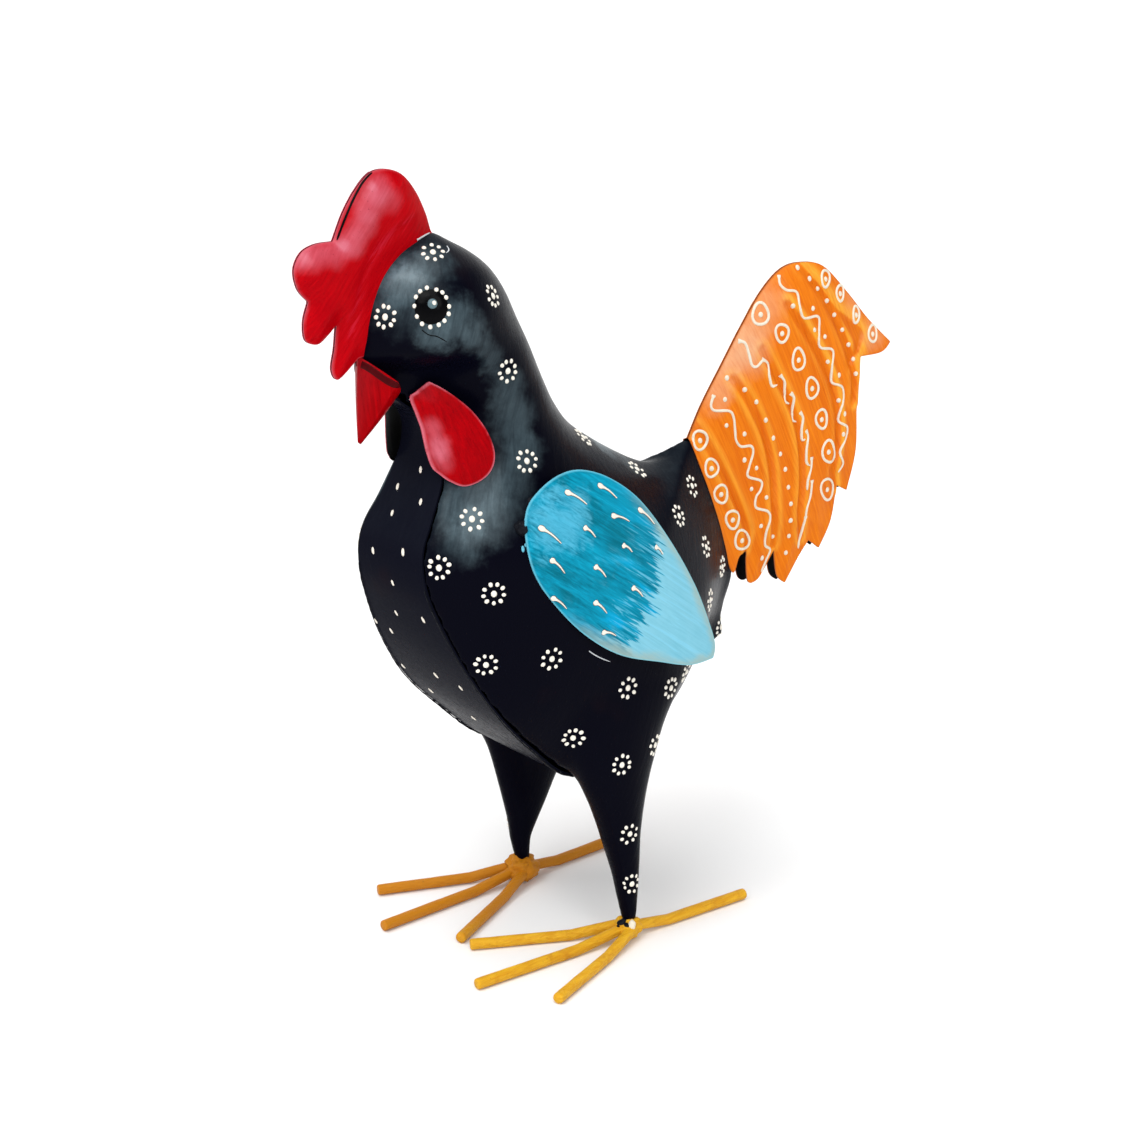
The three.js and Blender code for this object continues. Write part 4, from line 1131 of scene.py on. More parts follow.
# %% Where the blues meet
WING_WAY, WING_ACROSS, WING_Y = (0.8, -0.6), (0.6, 0.8), -62
MEETING_PIXELS, MEETING_BACK = ((655, 570), (645, 595), (640, 622)), 5.0
MEETING = float(np.mean(seen_on(WING_Y, *MEETING_PIXELS) @ np.array(WING_WAY)) - MEETING_BACK) * MM
MEETING += LEGS_X * WING_WAY[0]
LOW_END = float((seen_on(WING_Y, MEETING_PIXELS[-1]) @ np.array(WING_ACROSS))[0]) * MM
LOW_END += LEGS_X * WING_ACROSS[0]
PALE_SPOT = on_sheet(wing_depth, [(561, 521, 1, 1)])[0][0]
print("teal gives way to sky", round(MEETING, 3), "m along the wing")

# %% Wing blue
DEEP_TEAL, LIGHT_TEAL, PALE_TEAL = (0.0010, 0.125, 0.20), (0.0045, 0.36, 0.55), (0.085, 0.42, 0.60)
BLUE_STROKE, SHADE_TEAL = (0.002, 0.36, 0.66), (0.0012, 0.125, 0.175)
DEEP_SKY, LIGHT_SKY, DRY_SKY = (0.15, 0.45, 0.58), (0.25, 0.575, 0.70), (0.20, 0.56, 0.74)
DULL_GREY, EDGE_BLUE = (0.33, 0.44, 0.40), (0.16, 0.56, 0.70)


def wing_blue():
    """Teal with strokes, shade and a pale front, sky blue past the meeting line, dull behind."""
    finish = Finish("wing_blue")
    along = axis(finish, (WING_WAY[0], 0, WING_WAY[1]))
    rim = finish.field("rim")
    fingers = streaks(finish, WING_WAY, 560, 9, 3)
    marks = streaks(finish, WING_WAY, 800, 20, 5, 0.8).strong(2.8)
    broad = streaks(finish, WING_WAY, 140, 18, 4, 0.8).strong(2.4)
    cloud = finish.noise(42, 4, 0.6, distortion=0.9).strong(2.4)
    teal = finish.mix(marks * 0.55 + broad * 0.45, DEEP_TEAL, LIGHT_TEAL)
    near_meeting = (along - MEETING + 0.05).step(0.0, 0.05)
    teal = finish.mix(broad.step(0.55, 0.95) * near_meeting, teal, BLUE_STROKE)
    shade = (cloud * 0.5 + (1 - broad) * 0.5).step(0.45, 0.8) * (MEETING - 0.012 - along).step(-0.02, 0.03)
    teal = finish.mix(shade * 0.7, teal, SHADE_TEAL)
    folded = frayed(finish, both_sides(finish), 0.03)
    pale_front = (cloud - 0.5) * 0.7 + patch(finish, folded, PALE_SPOT, 0.024) + (marks - 0.5) * 0.3
    teal = finish.mix(pale_front.step(0.1, 0.75) * (marks * 0.3 + 0.55), teal, PALE_TEAL)
    sky = finish.mix(marks * 0.6 + cloud * 0.4, DEEP_SKY, LIGHT_SKY)
    across = axis(finish, (WING_ACROSS[0], 0, WING_ACROSS[1])) - LOW_END
    reach = along + across * 0.2 + (fingers - 0.5) * 0.055 + (broad - 0.5) * 0.007 - MEETING
    colour = finish.mix(reach.step(-0.001, 0.002), teal, sky)
    dry = (reach + (marks - 0.5) * 0.012).step(-0.024, 0.002) * marks.step(0.55, 0.9)
    colour = finish.mix(dry * 0.6, colour, DRY_SKY)
    dull = ((1 - rim / 9).clamp() * 0.8 + cloud * 0.4 + marks * 0.2).step(0.5, 1.1)
    behind = (along - MEETING + 0.045).step(0.0, 0.045)
    colour = finish.mix(dull * behind * 0.8, colour, DULL_GREY)
    edge = (1 - rim / 0.9).clamp()
    finish.height(marks + broad * 0.8, 0.00022, 0.45)
    return finish.set(Base_Color=finish.mix(edge * 0.7, colour, EDGE_BLUE),
                      Roughness=marks * 0.15 + 0.33, Specular_IOR_Level=0.03)


WING_BLUE = wing_blue()
print("wing finish:", WING_BLUE.name)

# %% [markdown]
# ## Tail orange
# The feathers are brushed lengthwise in orange over yellow. Painted shade makes the grooves
# redder, a painted highlight makes the ridges yellow, and a salmon sheen is painted on faces
# turned up and left and in listed patches. Marks follow the feathers' own direction, and the
# mesh's own value tells groove from ridge.

# %% Tail orange
# the ridge yellow, groove red and salmon below are painted light and shade
DEEP_ORANGE, LIGHT_ORANGE, RIDGE_HIGHLIGHT = (0.62, 0.100, 0.0028), (0.86, 0.245, 0.010), (0.92, 0.44, 0.045)
GROOVE_SHADE, SALMON_SHEEN, EDGE_ORANGE = (0.47, 0.065, 0.002), (0.76, 0.43, 0.25), (0.45, 0.11, 0.02)
# places of the painted salmon sheen
TAIL_SHEEN = on_sheet(tail_depth, [(745, 345, 20, 0.75), (718, 392, 12, 0.5), (768, 302, 15, 0.5),
                                  (722, 365, 10, 0.4), (872, 335, 12, 0.4), (852, 300, 14, 0.35)])


def tail_orange():
    """Two oranges, with painted highlight yellow on the ridges, painted shade red in the grooves, painted salmon
    sheen.
    """
    finish = Finish("tail_orange")
    way = (0.42, -0.91)
    fold, rim = finish.field("fold"), finish.field("rim")
    marks = streaks(finish, way, 760, 22, 5, 0.6).strong(2.6)
    broad = streaks(finish, way, 120, 11, 4, 0.9).strong(2.2)
    cloud = finish.noise(30, 4, 0.6, distortion=0.4).strong(2.2)
    colour = finish.mix(marks * 0.5 + broad * 0.5, DEEP_ORANGE, LIGHT_ORANGE)
    # painted highlight on the ridges, painted shade in the grooves
    colour = finish.mix((fold - 0.1).clamp() * 0.8 * (marks * 0.5 + 0.5), colour, RIDGE_HIGHLIGHT)
    colour = finish.mix((0 - fold).clamp() * 0.2, colour, GROOVE_SHADE)
    folded = frayed(finish, both_sides(finish), 0.02)
    # painted salmon sheen on faces turned up and left and at the listed places
    pale_sheen = facing(finish, (-0.75, 0, 0.65)) * 0.25 - 0.05
    pale_sheen = with_patches(finish, folded, pale_sheen, TAIL_SHEEN, 1.3 * MM, 0.9)
    pale_sheen = (pale_sheen * (cloud * 0.6 + marks * 0.3 + 0.45)).clamp()
    colour = finish.mix(pale_sheen * 0.9, colour, SALMON_SHEEN)
    edge = (1 - rim / 0.8).clamp()
    finish.height(marks + broad * 0.8, 0.00028, 0.55)
    return finish.set(Base_Color=finish.mix(edge * 0.5, colour, EDGE_ORANGE),
                      Roughness=marks * 0.15 + 0.3, Specular_IOR_Level=0.03)


TAIL_ORANGE = tail_orange()
print("tail finish:", TAIL_ORANGE.name)

# %% [markdown]
# ## Yellow feet
# The feet are dabbed with yellow over rough welded rod, so dirt and burnt brown sit in the
# hollows. The right foot is browner. Noise stretched along the rod gives the brush marks, and
# rounder noise the burnt places.

# %% Foot yellow
def foot_yellow():
    """A bright yellow, browner on the far foot, burnt in blotches and grimy in specks."""
    finish = Finish("foot_yellow")
    marks = streaks(finish, (1, 0.05), 700, 60, 5, 1.0).strong(2.2)
    blotch = finish.noise(120, 4, 0.65, distortion=0.8)
    far = axis(finish, (0, 1, 0)).step(-0.01, 0.02)
    colour = finish.mix(marks, (0.62, 0.27, 0.005), (0.80, 0.46, 0.022))
    colour = finish.mix(far * 0.85, colour, (0.50, 0.165, 0.004))
    colour = finish.mix(blotch.step(0.52, 0.75) * 0.5, colour, (0.52, 0.19, 0.01))
    grime = finish.noise(420, 3, 0.7).step(0.6, 0.78)
    finish.height(blotch * 2 + marks, 0.0005, 0.7)
    return finish.set(Base_Color=finish.mix(grime * 0.45, colour, (0.16, 0.085, 0.02)),
                      Roughness=blotch * 0.25 + 0.38, Specular_IOR_Level=0.2)


FOOT_YELLOW = foot_yellow()
print("foot finish:", FOOT_YELLOW.name)

# %% [markdown]
# ## Dots, cut edges and small marks
# The dots are thick cream house paint. Cut edges show a worn line of their own colour, the
# insides stay black, and marks of dirt and weld are each one small dab. Pale paints also stand
# for painted glints and a painted edge highlight. At this size a clouded mix of two close
# colours with a fine bump is all that can be seen.

# %% Plain paints
def plain_paint(name, light, dark, roughness, scale=700, depth=0.0001, shine=0.25):
    """A clouded mix of two close colours."""
    finish = Finish(name)
    cloud = finish.noise(scale, 3, 0.6)
    finish.height(cloud, depth, 0.5)
    return finish.set(Base_Color=finish.mix(cloud, dark, light), Roughness=cloud * 0.2 + roughness,
                      Specular_IOR_Level=shine)


CREAM = plain_paint("cream_paint", (0.93, 0.90, 0.83), (0.78, 0.73, 0.62), 0.35)
WING_CREAM = plain_paint("wing_cream", (0.90, 0.86, 0.78), (0.74, 0.66, 0.55), 0.4)
OUTLINE_BROWN = plain_paint("outline_brown", (0.10, 0.055, 0.03), (0.03, 0.02, 0.015), 0.45)
TAIL_CREAM = plain_paint("tail_cream", (0.84, 0.79, 0.67), (0.66, 0.58, 0.44), 0.4)
RED_EDGE = plain_paint("worn_red_edge", (0.62, 0.10, 0.14), (0.25, 0.0, 0.01), 0.35)
BLUE_EDGE = plain_paint("worn_blue_edge", (0.20, 0.62, 0.80), (0.02, 0.22, 0.32), 0.4)
ORANGE_EDGE = plain_paint("worn_orange_edge", (0.62, 0.14, 0.01), (0.20, 0.05, 0.01), 0.4)
INSIDE_BLACK = plain_paint("inside_black", (0.003, 0.003, 0.004), (0.001, 0.001, 0.002), 0.5, shine=0.03)
WELD_BLACK = plain_paint("weld_black", (0.012, 0.014, 0.018), (0.003, 0.003, 0.005), 0.25, 400, 0.0004, 0.05)
EYE_BLACK = plain_paint("eye_black", (0.002, 0.002, 0.003), (0.001, 0.001, 0.001), 0.06, shine=0.05)
EYE_GREY = plain_paint("eye_grey", (0.12, 0.19, 0.21), (0.05, 0.09, 0.11), 0.25)
LAP_RED = plain_paint("lap_red", (0.085, 0.001, 0.003), (0.030, 0.0, 0.001), 0.3, 300, shine=0.05)
# painted highlight: a pale pink line along the head's edge
EDGE_HIGHLIGHT_PINK = plain_paint("painted_edge_highlight", (0.30, 0.17, 0.20), (0.10, 0.05, 0.07), 0.4)
# painted glints in white, with bare metal in one speck
GLINT_AND_BARE_METAL = plain_paint("glint_and_bare_metal", (0.75, 0.78, 0.80), (0.45, 0.47, 0.50), 0.3)
print("materials made:", len(bpy.data.materials))

# %% [markdown]
# ## Putting the sheets together
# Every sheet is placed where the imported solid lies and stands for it. The left one is
# built, and the right one is its mirror image with its faces turned round. The sides keep
# the normals of the whole skin, so no seam shows along the back.

# %% Sides and strip
def placed(name, points, faces, materials, paints=None, instead=None, slot=None, sharp=40, fields=None):
    """A piece from points in drawing mm, riding on the body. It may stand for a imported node."""
    piece = new_piece(name, to_frame(points), faces, materials, paints, sharp, fields)
    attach(piece, "root")
    if instead:
        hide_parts(instead)
    return piece


def for_side(side, points, faces):
    """The left side's shape as it is, or its mirror image for the right side."""
    return (points, faces) if side == "left" else (mirrored(points), flipped(faces))


trees = {}
for side, (points, polygons, own_normals) in skins.items():
    piece = new_piece(side + "_pressed_side", points, polygons, [BODY_BLACK], sharp=180)
    piece.data.normals_split_custom_set_from_vertices([tuple(n) for n in own_normals])
    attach(piece, "root")
    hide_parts(side + "_side_shell")
    trees[side] = tree_of(points, polygons)
placed("breast_band", *strip_skin, [BREAST_BLACK], None, "breast_strip", "breast_black")
trees["strip"] = tree_of(to_frame(strip_outer).reshape(-1, 3), grid_faces(*strip_outer.shape[:2]))
print("sides and band:", len(trees))

# %% Hammered sheets
SHEETS = {
    "comb_half": (comb_sheet, (COMB_RED, RED_EDGE, INSIDE_BLACK), "comb_red"),
    "wattle": (wattle_sheet, (WATTLE_RED, RED_EDGE, INSIDE_BLACK), "comb_red"),
    "wing": (wing_sheet, (WING_BLUE, BLUE_EDGE, INSIDE_BLACK), "wing_blue"),
    "tail_half": (tail_sheet, (TAIL_ORANGE, ORANGE_EDGE, INSIDE_BLACK), "tail_orange"),
}
for name, ((points, faces, paints, front, fields), materials, slot) in SHEETS.items():
    for side in ("left", "right"):
        placed(f"{side}_hammered_{name}", *for_side(side, points, faces), materials, paints, f"{side}_{name}",
               slot, fields=fields)
    trees[name] = tree_of(to_frame(front[0]), front[1])
print("hammered sheets:", 2 * len(SHEETS))

# %% [markdown]
# ## Beak
# The beak is a folded cone of sheet with a ridge down its front. A loft of pinched rings,
# wide at the crown and nearly a point below, keeps that ridge crisp, where a plain cone
# would be round.

# %% Beak
CROWN, TIP = np.array([-132.5, 0, 333.0]), np.array([-133.0, 0, 289.8])
BEAK_DEEP, BEAK_WIDE, TIP_SIZE, BULGE, PINCH = 16, 17, 0.07, 0.03, 1.6


def pinched(c):
    """A circle's cosine or sine drawn in towards its axes, which gives four soft ridges."""
    return np.sign(c) * np.abs(c) ** PINCH


def beak_rings(rings=30, sides=64):
    """Pinched rings from the crown down to the tip."""
    lean = np.array([-1, 0, 1]) / math.sqrt(2)
    angle = np.linspace(0, 2 * np.pi, sides, endpoint=False)
    made = []
    for t in np.linspace(0, 1, rings):
        size = 1 + (TIP_SIZE - 1) * t + BULGE * math.sin(math.pi * t)
        middle = (CROWN - lean * BEAK_DEEP) * (1 - t) + TIP * t
        ring = middle + lean * (BEAK_DEEP * size * pinched(np.cos(angle)))[:, None]
        ring[:, 1] += BEAK_WIDE * size * pinched(np.sin(angle))
        made.append(ring)
    return np.array(made)


beak_points, beak_faces = capped(beak_rings())
placed("folded_beak", beak_points, beak_faces, [BEAK_RED], None, "beak", "comb_red", sharp=70)
trees["beak"] = tree_of(to_frame(beak_points), beak_faces)
print("beak has", len(beak_faces), "faces")

# %% [markdown]
# ## Paint that stands proud
# The dots and lines were squeezed or dabbed on thickly, so they catch the light. Each dab is
# a low dome and each line a low half-round bead. Their points are laid on the metal one by
# one, so they follow every curve, and the picture's own places say where they go.

# %% Laying paint on metal
DAB_RINGS, BEAD_SHARES, SUNK = (0.45, 0.8, 1.0), (-1, -0.75, -0.3, 0.3, 0.75, 1), 0.00008


def dome_height(height, share):
    """Height of a dome at a share of its radius. The rim goes a little into the metal."""
    return height * math.sqrt(1 - share**2 * 0.9999) - (SUNK if abs(share) == 1 else 0)


class Brushwork:
    """Raised paint gathered into one mesh."""

    def __init__(self, tree):
        self.tree, self.points, self.faces = tree, [], []

    def seen(self, px, py):
        """The place on the metal that a pixel shows, and its normal towards the camera."""
        ray = sight_line(px, py)
        place, normal, *_ = self.tree.ray_cast(eye_point, ray)
        if place is None:
            return None, None
        return place, -normal if normal.dot(ray) > 0 else normal

    def lay(self, point, normal, height):
        """The metal's nearest place, raised by a height."""
        place, own, *_ = self.tree.find_nearest(point)
        own = own if own.dot(normal) > 0 else -own
        return place + (own * 0.5 + normal * 0.5).normalized() * height

    def dab(self, place, normal, along, long, wide, height, sides=12):
        """A low dome, long and wide in metres from its middle to its edge."""
        along = (along - normal * along.dot(normal)).normalized()
        across = normal.cross(along)
        first = len(self.points)
        self.points.append(self.lay(place, normal, height))
        for share in DAB_RINGS:
            for k in range(sides):
                angle = 2 * math.pi * k / sides
                offset = along * (long * share * math.cos(angle)) + across * (wide * share * math.sin(angle))
                self.points.append(self.lay(place + offset, normal, dome_height(height, share)))
        for k in range(sides):
            after = (k + 1) % sides
            self.faces.append((first, first + 1 + k, first + 1 + after))
            for ring in range(len(DAB_RINGS) - 1):
                a = first + 1 + ring * sides
                self.faces.append((a + k, a + sides + k, a + sides + after, a + after))

    def line(self, places, normals, widths, height, closed=False):
        """A half-round bead through the places."""
        first, count = len(self.points), len(places)
        for i, (place, normal) in enumerate(zip(places, normals)):
            before = places[i - 1] if i or closed else place
            after = places[(i + 1) % count] if i < count - 1 or closed else place
            across = normal.cross(after - before).normalized()
            for share in BEAD_SHARES:
                beside = place + across * (widths[i] * share)
                self.points.append(self.lay(beside, normal, dome_height(height, share)))
        step = len(BEAD_SHARES)
        for i in range(count if closed else count - 1):
            a, b = first + i * step, first + ((i + 1) % count) * step
            for j in range(step - 1):
                self.faces.append((a + j, a + j + 1, b + j + 1, b + j))
        if not closed:
            self.faces.append(tuple(range(first, first + step))[::-1])
            self.faces.append(tuple(range(first + (count - 1) * step, first + count * step)))

    def piece(self, name, material, mirror=False):
        """One object of everything laid so far, or its mirror image for the other side."""
        points = np.array([tuple(p) for p in self.points])
        made = new_piece(name, mirrored(points) if mirror else points,
                         flipped(self.faces) if mirror else self.faces, [material], sharp=80)
        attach(made, "root")
        return made


print("brush ready")

# %% Dabs on both sides
UP, MIRROR = Vector((0, 0, 1)), Vector((1, -1, 1))
BOTH_SIDES = (("left", False), ("right", True))  # side, and whether it is a mirror image
random_marks = np.random.default_rng(11)


def dabbed(sheet, parts):
    """Pieces made of dabs on a sheet, for both sides. A dab is its pixel, its sizes and its sides."""
    for side, mirror in BOTH_SIDES:
        for name, (paint, dabs) in parts.items():
            brush = Brushwork(trees[sheet])
            for pixel, *sizes in dabs:
                brush.dab(*brush.seen(*pixel), UP, *sizes)
            brush.piece(side + name, paint, mirror)


print("near side first, then", BOTH_SIDES[1][0], "as its mirror image")

# %% [markdown]
# ## Flowers of dots
# The body is strewn with small flowers: one fat dot and eight or nine round it. Their
# middles are read from the picture on the near side and repeated on the far side, each
# turned and spaced a little differently, as a hand would do it.

# %% Flowers on the body
FLOWERS = [
    (433, 252), (385, 317), (493, 296), (508, 371), (527, 461), (472, 519), (439, 568), (494, 594), (486, 665),
    (552, 659), (573, 738), (622, 765), (628, 688), (671, 688), (686, 672), (655, 745), (630, 834), (632, 884),
    (583, 437), (637, 469), (692, 486), (679, 516), (706, 547), (722, 567), (710, 600), (721, 627)]


def flower(brush, place, normal):
    """A fat dot with eight or nine small ones round it."""
    petals, radius = int(random_marks.integers(8, 10)), 0.0050
    brush.dab(place, normal, UP, 0.00175, 0.00155, 0.00085)
    along = (UP - normal * UP.dot(normal)).normalized()
    across = normal.cross(along)
    start = random_marks.uniform(0, 2 * math.pi)
    for k in range(petals):
        angle = start + 2 * math.pi * k / petals + random_marks.uniform(-0.1, 0.1)
        way = along * math.cos(angle) + across * math.sin(angle)
        reach = radius * random_marks.uniform(0.95, 1.06)
        size = random_marks.uniform(0.00115, 0.00138)
        brush.dab(place + way * reach, normal, way, size, size * 0.86, 0.0006, 10)


near_dots, far_dots = Brushwork(trees["left"]), Brushwork(trees["right"])
for px, py in FLOWERS:
    place, normal = near_dots.seen(px, py)
    flower(near_dots, place, normal)
    other, other_normal, *_ = trees["right"].find_nearest(place * MIRROR)
    turned = normal * MIRROR
    flower(far_dots, other, other_normal if other_normal.dot(turned) > 0 else -other_normal)
near_dots.piece("left_flowers", CREAM)
far_dots.piece("right_flowers", CREAM)
print("flowers laid:", 2 * len(FLOWERS))

# %% [markdown]
# ## Dots on the breast band
# The band carries single long dots in a loose pattern, dabbed with the tip of the brush, so
# each is a narrow dome of its own length.

# %% Dots on the breast
BREAST_DOTS = [
    (420.6, 469.6), (397.6, 486.5), (420.6, 501.8), (392.2, 512.9), (373, 550.6), (402.9, 552.2), (392.7, 582.9),
    (396.3, 613), (423.3, 620), (391.4, 630.8), (403.3, 666), (436, 675.3), (460.8, 688), (431, 690.6),
    (473.7, 718), (376, 621)]
BREAST_LEAN = Vector((-0.15, 0.25, 1))
breast = Brushwork(trees["strip"])
for px, py in BREAST_DOTS:
    place, normal = breast.seen(px, py)
    if place is not None:
        long = random_marks.uniform(0.0017, 0.0022)
        breast.dab(place, normal, BREAST_LEAN, long, long * 0.55, 0.0005)
breast.piece("breast_dots", WING_CREAM)
print("breast dots:", len(BREAST_DOTS))

# %% [markdown]
# ## Eye
# The eye is a glossy black disc, painted thick, with a ring of fourteen dots and a grey dab
# with a white spark a little above its middle. Each is laid higher than the last, so they
# cover each other as coats of paint do.

# %% Eye
EYE_RING = [(426.9, 287.8), (436.4, 289.8), (442.4, 292.5), (446.1, 297.5), (449.1, 306.4), (448.8, 313.9),
            (444.5, 320.7), (438.8, 324.8), (430.3, 327), (422.1, 323.9), (417, 316.4), (414.5, 306),
            (416, 296.9), (420.2, 291.2)]
dabbed("left", {
    "_eye": (EYE_BLACK, [((431.2, 306.6), 0.0087, 0.0084, 0.0009, 40)]),
    "_eye_ring": (CREAM, [(pixel, 0.0012, 0.0011, 0.0007) for pixel in EYE_RING]),
    "_eye_grey": (EYE_GREY, [((432.5, 303.9), 0.0029, 0.0028, 0.0016, 24)]),
    "_eye_spark": (CREAM, [((434.2, 303.3), 0.0014, 0.0013, 0.0023, 16)]),
})
print("eye ring of", len(EYE_RING), "dots")

# %% [markdown]
# ## Drops on the wing
# Each drop is a round head pulled out into a thin tail towards the wing's tip, in cream on
# a slightly wider brown one that shows as an outline.

# %% Drops on the wing
DROPS = [
    ((567, 492.3), (586.6, 504.3)), ((599.5, 485.5), (616.4, 498)), ((639.6, 509.8), (654, 524)),
    ((540.7, 528), (561, 543.2)), ((584.8, 527.7), (595.2, 537)), ((612.9, 515.9), (629, 521.3)),
    ((623.2, 545.5), (631.8, 551.8)), ((655.7, 547.1), (662.5, 554.3)), ((551.8, 560.2), (564.6, 573)),
    ((595.5, 566.8), (605.7, 576.8)), ((633, 587.9), (642.5, 596.4)), ((552.7, 598.2), (566.4, 608.4)),
    ((595.2, 602.5), (606.6, 612.9)), ((603.2, 632.5), (615.7, 635.5))]
DROP_SHARES = np.array([-0.1, -0.04, 0.04, 0.12, 0.2, 0.32, 0.48, 0.66, 0.84, 1.0])
DROP_WIDTHS = np.array([0.75, 1.35, 1.6, 1.4, 0.85, 0.58, 0.5, 0.44, 0.38, 0.2]) * MM
DROP_BEND = 1.5 * np.sin(np.pi * np.clip(DROP_SHARES, 0, 1))
for side, mirror in BOTH_SIDES:
    under, over = Brushwork(trees["wing"]), Brushwork(trees["wing"])
    for (ax, ay), (bx, by) in DROPS:
        places, normals = zip(*[over.seen(ax + (bx - ax) * share + bend * 0.3, ay + (by - ay) * share - bend)
                                for share, bend in zip(DROP_SHARES, DROP_BEND)])
        under.line(places, normals, DROP_WIDTHS + 0.00028, 0.00022)
        over.line(places, normals, DROP_WIDTHS, 0.0006)
    under.piece(side + "_drop_outlines", OUTLINE_BROWN, mirror)
    over.piece(side + "_drops", WING_CREAM, mirror)
print("wing drops:", len(DROPS))

# %% [markdown]
# ## Rings, dots and wandering lines on the tail
# Nine columns of ornament follow the feathers: rings with a dot, wandering lines with dots
# in their bends, rows of dots and a chain of hooks. All are squeezed on as a thin bead.

# %% Tail ornament, as read from the picture
RINGS = [
    (700, 440, 7, 9.5), (711.5, 468, 6.5, 9), (721, 494, 6.5, 9), (732.5, 519.5, 6.5, 9), (742, 540, 7, 9.5),
    (760.5, 314, 8, 11), (782, 333, 6.5, 9), (798.5, 359.5, 6, 11), (812, 388, 6, 10.5), (821.5, 419, 5.5, 9.5),
    (828.5, 451.5, 6, 11), (827, 489, 6, 10.5), (825.5, 278.5, 4, 8.5), (840, 293, 3.5, 8), (856, 314.5, 3, 8.5),
    (872.5, 333.5, 4, 8.5)]
WANDERING = [
    [(714, 395), (711, 405), (714.5, 410.5), (729, 411), (733.5, 417), (735, 430), (736, 440), (741, 446.5),
     (751, 446), (753, 453), (749, 467), (748, 476.5), (761, 481), (760.5, 490), (756, 497), (756, 507.5),
     (768, 511.5), (770, 520), (766, 533), (765, 545), (770, 549.5), (766, 560), (761, 572)],
    [(779, 275), (780, 284), (786.5, 290), (796.5, 292), (799.5, 305), (804, 318), (818, 316.5), (819, 331),
     (820, 347), (832.5, 350), (832, 367), (831.5, 382), (842, 387), (843, 402), (838, 420), (847, 427),
     (845, 440), (840, 452), (843, 463), (838, 472)]]
HOOKS = [
    [(738, 341), (745, 343), (749, 354), (752, 365), (757, 366.5), (763, 359.5)],
    [(762, 359), (767.5, 363.5), (769.5, 377), (772, 386), (776.5, 385)],
    [(780, 375), (784.5, 381), (784.5, 390), (785, 401), (789, 403.5)],
    [(790.5, 393), (794, 398), (792, 410), (792.5, 420), (796, 421.5)],
    [(800, 412), (803, 418), (801.5, 430), (802, 440), (805, 439)],
    [(806, 430), (808, 437), (806.5, 450), (806.5, 462), (809.5, 465.5)],
    [(811.5, 457), (811, 468), (808, 480), (807, 490)],
    [(812, 480), (810.5, 495), (807, 508), (805.5, 517)],
    [(806, 516), (802, 530), (799, 540), (798, 548)]]
TAIL_DOTS = [
    (725, 399.5), (726.5, 425.5), (744.5, 434), (744.5, 460), (756.5, 468), (751.5, 489), (766.5, 497.5),
    (761, 526), (772.5, 536.5), (762, 558), (727, 378), (744.7, 389.7), (756.4, 402), (765.8, 420.2), (773.4, 438),
    (780.3, 454), (785.3, 469.3), (788.3, 487.2), (790.9, 503.8), (790.6, 520.5), (788.8, 536), (785.8, 552.7),
    (793, 306), (813, 308.4), (814.5, 329.8), (824.8, 336.6), (827.8, 361.7), (839, 375.2), (838.6, 400.5),
    (844.8, 413.8), (843.6, 434.2), (797.5, 267.5), (809.5, 278.6), (817.5, 288.4), (826.7, 300.8), (834.2, 314.8),
    (842.2, 329.8), (848.5, 344.7), (853, 359), (855.8, 373.7)]

# %% [markdown]
# ## Squeezing on the ornament
# A smooth line goes through the places read, and a half-round bead is laid along it. Its
# width swells and shrinks a little, it starts fat where the hand came down and thins out
# where it lifted.

# %% Ornament on the tail
BEAD_WIDE, BEAD_HIGH, FAT_START = 0.00084, 0.0006, 1.55


def smooth_run(pixels, spacing=1.6):
    """Evenly spaced places along a smooth line through the given ones."""
    fine = run(pixels, 12)
    way = np.concatenate([[0], np.cumsum(np.linalg.norm(np.diff(fine, axis=0), axis=1))])
    at = np.linspace(0, way[-1], max(int(way[-1] / spacing), 6))
    return np.stack([np.interp(at, way, fine[:, k]) for k in range(2)], 1)


def bead(brush, pixels, width, height, closed=False, head=False):
    """A bead of paint along pixels. It skips the ones that miss the metal."""
    places, normals, widths = [], [], []
    for i, (px, py) in enumerate(pixels):
        place, normal = brush.seen(px, py)
        if place is None:
            continue
        places.append(place)
        normals.append(normal)
        thick = width * (1 + 0.14 * noise.noise(Vector((px * 0.11, py * 0.11, 0))))
        widths.append(thick * (FAT_START if head and i < 2 else 1.0))
    if not closed and len(widths) > 4:
        widths[-1] *= 0.45
        widths[-2] *= 0.8
    if len(places) > 3:
        brush.line(places, normals, widths, height, closed)


tail_paint = Brushwork(trees["tail_half"])
for px, py, wide, high in RINGS:
    angle = np.linspace(0, 2 * np.pi, 26, endpoint=False)
    wobble = 1 + 0.06 * np.sin(angle * 3 + px)
    loop = np.stack([px + wide * np.cos(angle) * wobble, py + high * np.sin(angle) * wobble], 1)
    bead(tail_paint, loop, BEAD_WIDE, BEAD_HIGH, closed=True)
    place, normal = tail_paint.seen(px + 0.2, py + 0.6)
    tail_paint.dab(place, normal, UP, 0.0016, 0.0015, 0.0007)
for line in WANDERING:
    bead(tail_paint, smooth_run(line), 0.00078, BEAD_HIGH, head=True)
for line in HOOKS:
    bead(tail_paint, smooth_run(line), BEAD_WIDE, BEAD_HIGH, head=True)
for px, py in TAIL_DOTS:
    place, normal = tail_paint.seen(px, py)
    if place is not None:
        size = random_marks.uniform(0.00125, 0.0015)
        tail_paint.dab(place, normal, UP, size * 1.1, size, 0.0007)
for side, mirror in BOTH_SIDES:
    tail_paint.piece(side + "_tail_ornament", TAIL_CREAM, mirror)
print("tail ornament faces:", len(tail_paint.faces))

# %% [markdown]
# ## Seams and welds
# Weld was run where the lower half of the breast band meets the rims, and never filed, so
# it stays a low rough bead. A tube along the rim with a noisy radius looks the same.

# %% Beads of weld
SEAM_FROM, SEAM_TO, SEAM_STEPS, SEAM_SET_IN = 13, 23.6, 420, 0.9


